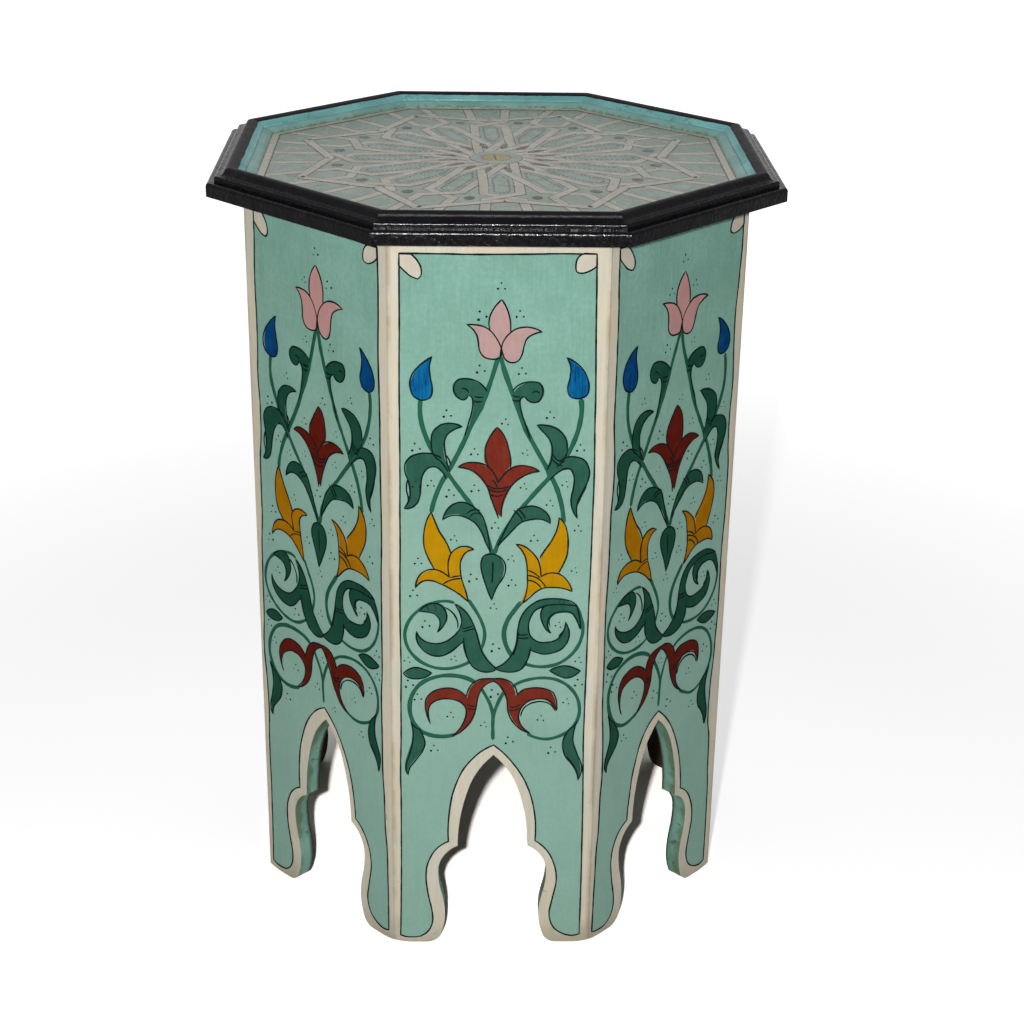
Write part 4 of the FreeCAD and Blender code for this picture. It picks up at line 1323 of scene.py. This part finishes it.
@dataclass
class BoardPainting:
    """The paint on one side board: ground, border, figures, stems and dots."""

    board: Board
    pots: dict[Colour, Material]
    brush: Tree
    dots: Tree
    root: float = -0.1
    ground_lift: float = 0.12
    figure_lift: float = 0.2
    layer_lift: float = 0.12
    order_lift: float = 0.003
    pen_slip: float = 1.8
    slip_run: float = 24.0
    slip_seed: float = 40.0
    step: float = 1.6
    border_step: float = 2.5
    ground_step: float = 3.0

    def build(self) -> None:
        """Makes every painted piece of the board."""
        self.lay_ground()
        self.lay_figures()
        place, step = self.board.place, self.step
        self.draw("stems", STEM_BRUSH, [open_line(path, step) for path in STEMS], place)
        self.draw("rings", RING_BRUSH, [open_line(path, step) for path in RINGS], place)
        lines = [line for figure in FIGURES for line in figure.pen_paths(step)]
        lines += [open_line(path, step) for path in PEN_LINES]
        self.draw("outlines", PEN, lines, self.pen)
        border = outline(ARCH_LINE, self.border_step)
        self.draw("border_line", BORDER_PEN, [(border, True)], place)
        self.set_dots()

    def pen(self, across: float, up: float, lift: float) -> Vector:
        """Where the pen runs for a spot: a little off the edge of the paint."""
        spot = Vector((across, up, 0.0)) / self.slip_run
        spot.z = self.board.seed + self.slip_seed
        slip = noise.noise_vector(spot) * self.pen_slip
        return self.board.place(across + slip.x, up + slip.y, lift)

    def lay_ground(self) -> None:
        """The blue-green field inside the cream bands."""
        plates = Plates()
        plates.add(outline(ARCH_LINE, self.ground_step), self.board.place, self.root,
                   self.ground_lift)
        plates.piece(f"{self.board.name}_ground_paint", [self.pots[Colour.GROUND]],
                     "painted_panel")

    def lay_figures(self) -> None:
        """Petals, leaves and buds, each colour with its own finish."""
        colours = list(dict.fromkeys(figure.colour for figure in FIGURES))
        plates = Plates()
        for number, figure in enumerate(FIGURES):
            lift = self.figure_lift + figure.layer * self.layer_lift
            lift += number * self.order_lift
            plates.add(outline(figure.runs, self.step), self.board.place, self.root, lift,
                       colours.index(figure.colour))
        plates.piece(f"{self.board.name}_flowers", [self.pots[c] for c in colours],
                     "painted_panel")

    def draw(self, label: str, brush: Brush, lines: Iterable[Line], place: Place) -> None:
        """Draws lines on the board as one piece.

        Args:
            label: the piece's name after the board's.
            brush: what they are drawn with.
            lines: each line's points and whether it closes on itself.
            place: turns a spot of a line and a height into a point.
        """
        piece = self.brush.grow(
            strokes(label, lines, place, brush.lift), f"{self.board.name}_{label}",
            Finish=self.pots[brush.colour], Width=brush.width * MM,
            Height=brush.height * MM, Waver=brush.waver, Taper=brush.taper * MM,
            Facing=self.board.facing)
        settle(piece)

    def set_dots(self) -> None:
        """The groups of three dots in the open ground."""
        mesh = bpy.data.meshes.new("dot_groups")
        spots = [self.board.place(x, y, self.ground_lift) for x, y in DOT_GROUPS]
        mesh.from_pydata(spots, [], [])
        piece = self.dots.grow(
            mesh, f"{self.board.name}_dots", Finish=self.pots[Colour.INK],
            Facing=self.board.facing, Seed=int(self.board.seed))
        settle(piece)


def band(path: Sequence[Point], half_width: float) -> list[Point]:
    """The outline of a straight-edged band along a path, mitred where it bends.

    Args:
        path: the band's middle line.
        half_width: from the middle line to either edge.

    Returns:
        The outline, down one edge and back up the other.
    """
    spots = [Vector(point) for point in path]
    ways = [(b - a).normalized() for a, b in zip(spots, spots[1:])]
    edge = []
    for index, spot in enumerate(spots):
        before, after = ways[max(index - 1, 0)], ways[min(index, len(ways) - 1)]
        across = Vector((-before.y - after.y, before.x + after.x)).normalized()
        reach = half_width / across.dot(Vector((-after.y, after.x)))
        edge.append((spot, across * reach))
    left = [(spot.x + off.x, spot.y + off.y) for spot, off in edge]
    right = [(spot.x - off.x, spot.y - off.y) for spot, off in reversed(edge)]
    return left + right


def disc(radius: float, count: int, centre: Point = (0.0, 0.0), flat: float = 1.0,
         ) -> list[Point]:
    """A round or oval outline.

    Args:
        radius: its half width along the first axis.
        count: the number of its points.
        centre: its middle.
        flat: its height as a share of its width.

    Returns:
        The outline's points.
    """
    return [
        (centre[0] + radius * math.cos(math.tau * part / count),
         centre[1] + radius * flat * math.sin(math.tau * part / count))
        for part in range(count)
    ]


# The shapes that repeat on the top, from its middle outwards
PETAL: Run = ((39.5, 0), (58.5, 8), (95, 8), (100, 0), (95, -8), (58.5, -8))
DASHED: Run = ((46, 0), (60, 5), (92.6, 5), (96, 0), (92.6, -5), (60, -5))
ALMOND: tuple[Run, ...] = (
    ((27, 0), (33, -2.4), (38, -2.2)), ((44, 0), (38, 2.2), (33, 2.4)))
BETWEEN_FIELD: Run = ((131, 0), (138, -7), (149, -5), (149, 5), (138, 7))
BEYOND_FIELD: Run = ((127, -7), (150, -9), (150, 9), (127, 7))
ROUNDS = ((18.6, Colour.TOP_INK, 0.15), (18.0, Colour.BLUE_GREY, 0.18),
          (10.2, Colour.TOP_INK, 0.2), (9.6, Colour.OCHRE, 0.23))
ROUND_LINE: Run = ((-7, -1), (7, -0.4))
TOP_PIECES = {
    Colour.TOP_GREEN: "top_petals", Colour.STRAP: "top_straps",
    Colour.TOP_INK: "top_pen_lines", Colour.OVAL: "top_ovals",
    Colour.ALMOND: "top_almonds",
}


@dataclass
class TopPainting:
    """The star of straps on the top, in millimetres from the table's axis.

    Sixteen pairs of straps run out from the middle. Each pair frames a petal, crosses
    behind it, and goes on to the border under an eight-pointed ring strap.
    """

    surface: float
    reach: float
    pots: dict[Colour, Material]
    tree: Tree
    slip: float = 1.8
    pair: float = 11.5
    strap: float = 3.0
    line: float = 0.7
    start: float = 13.0
    inner: float = 43.0
    middle: float = 80.0
    bend: float = 97.0
    crossed: float = 112.0
    tail: float = 117.0
    flare: float = 1.03
    spread: float = 14.5
    border: float = 4.8
    border_line: float = 0.9
    ring_inner: float = 114.0
    ring_outer: float = 143.0
    oval_place: float = 110.0
    oval_radius: float = 4.2
    oval_flat: float = 0.86
    dash_run: float = 3.6
    fine_line: float = 0.6
    root: float = -0.1
    low: float = 0.02
    field_lift: float = 0.05
    high: float = 0.08
    dash_lift: float = 0.09
    spot_lift: float = 0.12
    ring_lift: float = 0.14
    border_lift: float = 0.24
    skin: float = 0.03

    def at(self, angle: float) -> Place:
        """How spots along and across a direction, and a height, become points."""
        way = math.radians(-90 + self.slip) + angle
        out = Vector((math.cos(way), math.sin(way), 0.0)) * MM
        across = Vector((-math.sin(way), math.cos(way), 0.0)) * MM

        def place(along: float, side: float, lift: float) -> Vector:
            """The point of a spot and a height in millimetres."""
            return out * along + across * side + Vector((0, 0, self.surface + lift * MM))
        return place

    def sections(self, side: float, end: float) -> list[Line]:
        """The parts of one strap and whether each lies over what it crosses.

        Args:
            side: 1 for the strap left of the direction, -1 for its twin.
            end: how far out it runs.

        Returns:
            Each part's path and whether it's the upper one.
        """
        v, first = self.pair * side, side > 0
        tail = (self.tail, -v * self.flare)
        return [
            ([(self.start, v), (self.inner, v)], first),
            ([(self.inner, v), (self.middle, v)], not first),
            ([(self.middle, v), (self.bend, v), (self.crossed, -v), tail], first),
            ([tail, (end, -self.spread * side)], False),
        ]

    def build(self) -> None:
        """Makes every painted piece of the top."""
        half = math.pi / SIDES
        layers = {colour: Plates() for colour in TOP_PIECES}
        green = layers[Colour.TOP_GREEN]
        oval = disc(self.oval_radius, 16, (self.oval_place, 0), self.oval_flat)
        for angle, end in ((0.0, self.reach - 2.0), (half, self.reach + 6.0)):
            place = self.at(angle)
            self.lay_petal(layers, place)
            for side in (1.0, -1.0):
                for path, upper in self.sections(side, end):
                    self.lay_strap(layers, path, place, self.high if upper else self.low)
            cell = self.at(angle + half / 2)
            layers[Colour.OVAL].add(oval, cell, self.root, self.spot_lift)
            layers[Colour.ALMOND].add(outline(ALMOND, 1.6), cell, self.root, self.spot_lift)
            green.add(BETWEEN_FIELD, cell, self.root, self.field_lift)
            green.add(BEYOND_FIELD, place, self.root, self.field_lift)
        corner = self.ring_outer * math.cos(half), self.ring_outer * math.sin(half)
        for side in (1.0, -1.0):
            ring = [(self.ring_inner, 0.0), (corner[0], corner[1] * side)]
            self.lay_strap(layers, ring, self.at(0.0), self.ring_lift)
        self.repeat(layers, TOP_PIECES)
        self.lay_middle()
        self.lay_border()

    def repeat(self, layers: dict[Colour, Plates], names: dict[Colour, str],
               **values: object) -> None:
        """Repeats each colour's plates around the table, as one piece each.

        Args:
            layers: the plates.
            names: the pieces' names, in the order in which they are made.
            values: further inputs of the tree.
        """
        for colour, name in names.items():
            piece = self.tree.grow(layers[colour].mesh(name), name,
                                   Finish=self.pots[colour], Count=SIDES, **values)
            settle(piece)

    def lay_strap(self, layers: dict[Colour, Plates], path: Sequence[Point],
                  place: Place, level: float) -> None:
        """One part of a strap: a dark plate with a narrower pale one on it.

        Args:
            layers: each colour's plates.
            path: the strap's middle line.
            place: where its spots lie.
            level: the dark plate's height.
        """
        dark, pale = band(path, self.strap + self.line), band(path, self.strap)
        layers[Colour.TOP_INK].add(dark, place, self.root, level)
        layers[Colour.STRAP].add(pale, place, self.root, level + self.skin)

    def lay_petal(self, layers: dict[Colour, Plates], place: Place) -> None:
        """The field between a pair of straps and its dashed inner line.

        Args:
            layers: each colour's plates.
            place: where its spots lie.
        """
        layers[Colour.TOP_GREEN].add(PETAL, place, self.root, self.field_lift)
        inner = [Vector(spot) for spot in DASHED]
        for a, b in zip(inner, inner[1:] + inner[:1]):
            way = b - a
            count = max(1, round(way.length / self.dash_run))
            for part in range(count):
                dash = [a + way * ((part + share) / count) for share in (0.2, 0.75)]
                layers[Colour.OVAL].add(band(dash, self.fine_line), place, self.root,
                                        self.dash_lift)

    def lay_middle(self) -> None:
        """The round in the middle of the star."""
        place = self.at(0.0)
        plates = Plates()
        for kind, (radius, _, lift) in enumerate(ROUNDS):
            plates.add(disc(radius, 32), place, self.root, lift, kind)
        plates.add(band(ROUND_LINE, self.fine_line), place, self.root, lift + self.skin)
        plates.piece("top_middle", [self.pots[colour] for _, colour, _ in ROUNDS],
                     "painted_top")

    def lay_border(self) -> None:
        """The pale strip along the lipping and the pen line at its inner edge."""
        names = {Colour.STRAP: "top_border", Colour.TOP_INK: "top_border_line"}
        layers = {colour: Plates() for colour in names}
        half = math.tan(math.pi / SIDES)
        outer, inner = self.reach - 0.1, self.reach - self.border
        for colour, near, lift in (
                (Colour.STRAP, inner, self.border_lift),
                (Colour.TOP_INK, inner - self.border_line, self.border_lift - self.skin)):
            strip = [(near, -near * half), (outer, -outer * half),
                     (outer, outer * half), (near, near * half)]
            layers[colour].add(strip, self.at(math.radians(-self.slip)), self.root, lift)
        self.repeat(layers, names, Drift=0.0)


# The wooden carcass

@dataclass
class Carcass:
    """The CAD pieces, each given its own finish."""

    rim_turn_inset: float = 4.0
    panel_depth: float = 13.0

    def dress(self) -> None:
        """Gives every CAD node a material for its kind of piece."""
        face = -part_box("front_panel")[0].y
        rim_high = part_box("front_rim")[1]
        board_low, board_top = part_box("top_board")
        finishes = {
            "_panel": PanelCoat(face, face - self.panel_depth * MM).make("panel_coat"),
            "_rim": RimLacquer(self.rim_turn_inset * MM - rim_high.y,
                               rim_high.z).make("rim_lacquer"),
            "_lipping": LippingPaint(-board_low.y).make("lipping_paint"),
            "top_board": TopGround(board_top.z).make("top_ground"),
            "corner_block": BareWood((300.0, 300.0, 12.0)).make("block_wood"),
            "top_screws": ScrewSteel().make("screw_steel"),
        }
        battens = [
            BareWood((12.0, 300.0, 300.0), -index * math.tau / SIDES).make(
                f"batten_wood_{index + 1}")
            for index in range(SIDES // 2)
        ]
        for name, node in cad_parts.items():
            if name.endswith("_batten"):
                side = SIDE_NAMES.index(name.removesuffix("_batten"))
                finish = battens[side % len(battens)]
            else:
                finish = next(made for key, made in finishes.items() if key in name)
            for slot in node.material_slots:
                slot.material = finish


# Stage, lamps and camera

KEY_PLACE: Spot = (-0.096, -1.325, 0.868)
CAMERA_PLACE: Spot = (-0.0232, -1.3375, 0.8513)


@dataclass(frozen=True)
class Lamp:
    """A square lamp that is aimed at the table, and the group it is kept to."""

    name: str
    place: Spot
    size: float
    power: float
    group: str | None = None
    glossy: bool = False
    diffuse: bool = True

    def hang(self, groups: dict[str, bpy.types.Collection]) -> None:
        """Adds the lamp to the scene, kept to its group of the groups by name."""
        lamp = bpy.data.lights.new(self.name, "AREA")
        lamp.size = self.size
        lamp.energy = self.power
        holder = bpy.data.objects.new(self.name, lamp)
        holder.location = self.place
        aim = Vector((0.0, 0.0, 0.3)) - Vector(self.place)
        holder.rotation_euler = aim.to_track_quat("-Z", "Y").to_euler()
        holder.visible_glossy = self.glossy
        holder.visible_diffuse = self.diffuse
        bpy.context.scene.collection.objects.link(holder)
        if self.group:
            holder.light_linking.receiver_collection = groups[self.group]


# Key lamp left of the camera, its like for the floor's shadow, a lamp at the camera
# for the rims' glints, one above the top and two behind the table
LAMPS = (
    Lamp("key_lamp", KEY_PLACE, 0.03, 12.2),
    Lamp("glint_lamp", CAMERA_PLACE, 0.07, 150.0, "rims", True, False),
    Lamp("floor_lamp", KEY_PLACE, 0.03, 12.2, "floor_only"),
    Lamp("top_lamp", (0.0, 0.3, 2.2), 1.0, 7.0),
    Lamp("back_left_lamp", (-1.1, 1.6, 0.5), 0.5, 11.0, "all_but_floor"),
    Lamp("back_right_lamp", (1.1, 1.6, 0.5), 0.5, 11.0, "all_but_floor"),
)


@dataclass
class Studio:
    """A white floor, the lamps and the camera at the photograph's angle."""

    floor_reach: float = 12.0
    floor_tone: float = 0.5
    hollow_colour: tuple[float, float, float, float] = (2.15, 2.02, 1.92, 1.0)
    hollow_edge: Point = (0.145, 0.185)
    behind_edge: Point = (0.142, 0.16)
    behind_reach: float = 0.25
    far_edge: Point = (0.35, 1.6)
    far_glow: float = 0.45
    glow: float = 0.64
    fill: float = 0.07
    yaw: float = 0.0284
    pitch: float = 0.4135
    roll: float = 0.0157
    lens: float = 69.12

    def build(self) -> None:
        """Sets everything up."""
        self.lay_floor()
        self.light()
        self.aim_camera()
        bpy.context.scene.view_settings.view_transform = "Standard"

    def seen_directly(self, tree: bpy.types.NodeTree) -> Socket:
        """One where a camera, glossy or transmission ray looks, else zero."""
        path = tree.nodes.new("ShaderNodeLightPath")
        total = path.outputs["Is Camera Ray"]
        for name in ("Is Glossy Ray", "Is Transmission Ray"):
            most = tree.nodes.new("ShaderNodeMath")
            most.operation = "MAXIMUM"
            tree.links.new(total, most.inputs[0])
            tree.links.new(path.outputs[name], most.inputs[1])
            total = most.outputs[0]
        return total

    def lay_floor(self) -> None:
        """A plain floor that looks white and keeps the table's shadow.

        It glows for direct looks outside the table's hollow, where nothing shades it,
        and inside the hollow its colour is raised instead, which keeps the shadow.
        """
        reach = self.floor_reach
        mesh = bpy.data.meshes.new("floor")
        corners = [(-reach, -reach, 0), (reach, -reach, 0), (reach, reach, 0),
                   (-reach, reach, 0)]
        mesh.from_pydata(corners, [], [(0, 1, 2, 3)])
        floor = bpy.data.objects.new("floor", mesh)
        bpy.context.scene.collection.objects.link(floor)
        shader = Shader("floor_white", 0.1, 0.9)
        length = shader.tree.nodes.new("ShaderNodeVectorMath")
        length.operation = "LENGTH"
        shader.feed(length.inputs[0], shader.place)
        distance = length.outputs["Value"]
        x, y, _ = shader.axes()
        behind = shader.math("MULTIPLY", shader.between(y, 0.0, 0.04), shader.between(
            shader.math("ABSOLUTE", x), *self.behind_edge, 1.0, 0.0))
        reached = shader.math("MULTIPLY", distance, shader.math(
            "SUBTRACT", 1.0, shader.math("MULTIPLY", behind, self.behind_reach)))
        outside = shader.between(reached, *self.hollow_edge)
        far = shader.between(distance, *self.far_edge, 0.0, self.far_glow)
        seen = self.seen_directly(shader.tree)
        pale = shader.math("MULTIPLY", seen, shader.math("SUBTRACT", 1.0, outside))
        plain = (self.floor_tone, self.floor_tone, self.floor_tone, 1.0)
        shader.feed(shader.surface.inputs["Base Color"],
                    shader.blend(pale, plain, self.hollow_colour))
        glow = shader.math("ADD", shader.math("MULTIPLY", outside, self.glow), far)
        shader.feed(shader.surface.inputs["Emission Color"], (1.0, 1.0, 1.0, 1.0))
        shader.feed(shader.surface.inputs["Emission Strength"],
                    shader.math("MULTIPLY", glow, seen))
        mesh.materials.append(shader.material)

    def light(self) -> None:
        """The lamps, and a world that is white to look at and a faint fill."""
        groups = self.groups()
        for lamp in LAMPS:
            lamp.hang(groups)
        world = bpy.data.worlds.new("studio")
        world.use_nodes = True
        bpy.context.scene.world = world
        tree = world.node_tree
        back = tree.nodes["Background"]
        level = tree.nodes.new("ShaderNodeMapRange")
        tree.links.new(self.seen_directly(tree), level.inputs["Value"])
        level.inputs["To Min"].default_value = self.fill
        level.inputs["To Max"].default_value = 1.0
        back.inputs["Color"].default_value = (1.0, 1.0, 1.0, 1.0)
        tree.links.new(level.outputs[0], back.inputs["Strength"])

    def groups(self) -> dict[str, bpy.types.Collection]:
        """The groups of pieces that a lamp can be kept to, by name."""
        rims = [f"{side}_{part}" for side in SIDE_NAMES for part in ("rim", "lipping")]
        made = {}
        for name, members, state in (("rims", rims, "INCLUDE"),
                                     ("floor_only", ["floor"], "INCLUDE"),
                                     ("all_but_floor", ["floor"], "EXCLUDE")):
            made[name] = bpy.data.collections.new(name)
            for member in members:
                made[name].objects.link(bpy.data.objects[member])
            for entry in made[name].collection_objects:
                entry.light_linking.link_state = state
        return made

    def aim_camera(self) -> None:
        """The camera where the photograph was taken from."""
        level = Vector((math.cos(self.yaw), -math.sin(self.yaw), 0.0))
        ahead = Vector((
            math.sin(self.yaw) * math.cos(self.pitch),
            math.cos(self.yaw) * math.cos(self.pitch),
            -math.sin(self.pitch)))
        above = level.cross(ahead)
        right = level * math.cos(self.roll) + above * math.sin(self.roll)
        up = above * math.cos(self.roll) - level * math.sin(self.roll)
        lens = bpy.data.cameras.new("camera")
        lens.lens = self.lens
        lens.sensor_width = 36.0
        camera = bpy.data.objects.new("camera", lens)
        turn = Matrix((right, up, -ahead)).transposed().to_4x4()
        camera.matrix_world = Matrix.Translation(CAMERA_PLACE) @ turn
        bpy.context.scene.collection.objects.link(camera)
        bpy.context.scene.camera = camera


def main() -> None:
    """Dresses the table, then sets the stage."""
    logging.basicConfig(level=logging.INFO, format="%(name)s: %(message)s")
    noise.seed_set(HAND_SEED)
    Carcass().dress()
    pots = {colour: pot.make(f"paint_{colour.value}") for colour, pot in POTS.items()}
    pots[Colour.GROUND] = GroundPaint().make("paint_ground")
    # Darker copies of the paints, painted shade for the boards other than the front
    shaded_pots = pots | {
        colour: pot.make(f"paint_shaded_{colour.value}")
        for colour, pot in SHADED_POTS.items() if pot is not POTS[colour]
    }
    brush, dots = brush_tree(), dot_tree()
    face = -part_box("front_panel")[0].y
    for index, name in enumerate(SIDE_NAMES):
        drift = 0.0 if name.startswith("front") else 1.6
        board = Board(name, math.radians(90 + 45 * index), face, drift, index + 1.0)
        # Boards other than the front take the darker copies of the paints, as painted shade.
        board_pots = pots if name == "front" else shaded_pots
        BoardPainting(board, board_pots, brush, dots).build()
    board_low, board_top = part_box("top_board")
    TopPainting(board_top.z, -board_low.y / MM, pots, around_tree()).build()
    Studio().build()


if __name__ == "__main__":
    main()
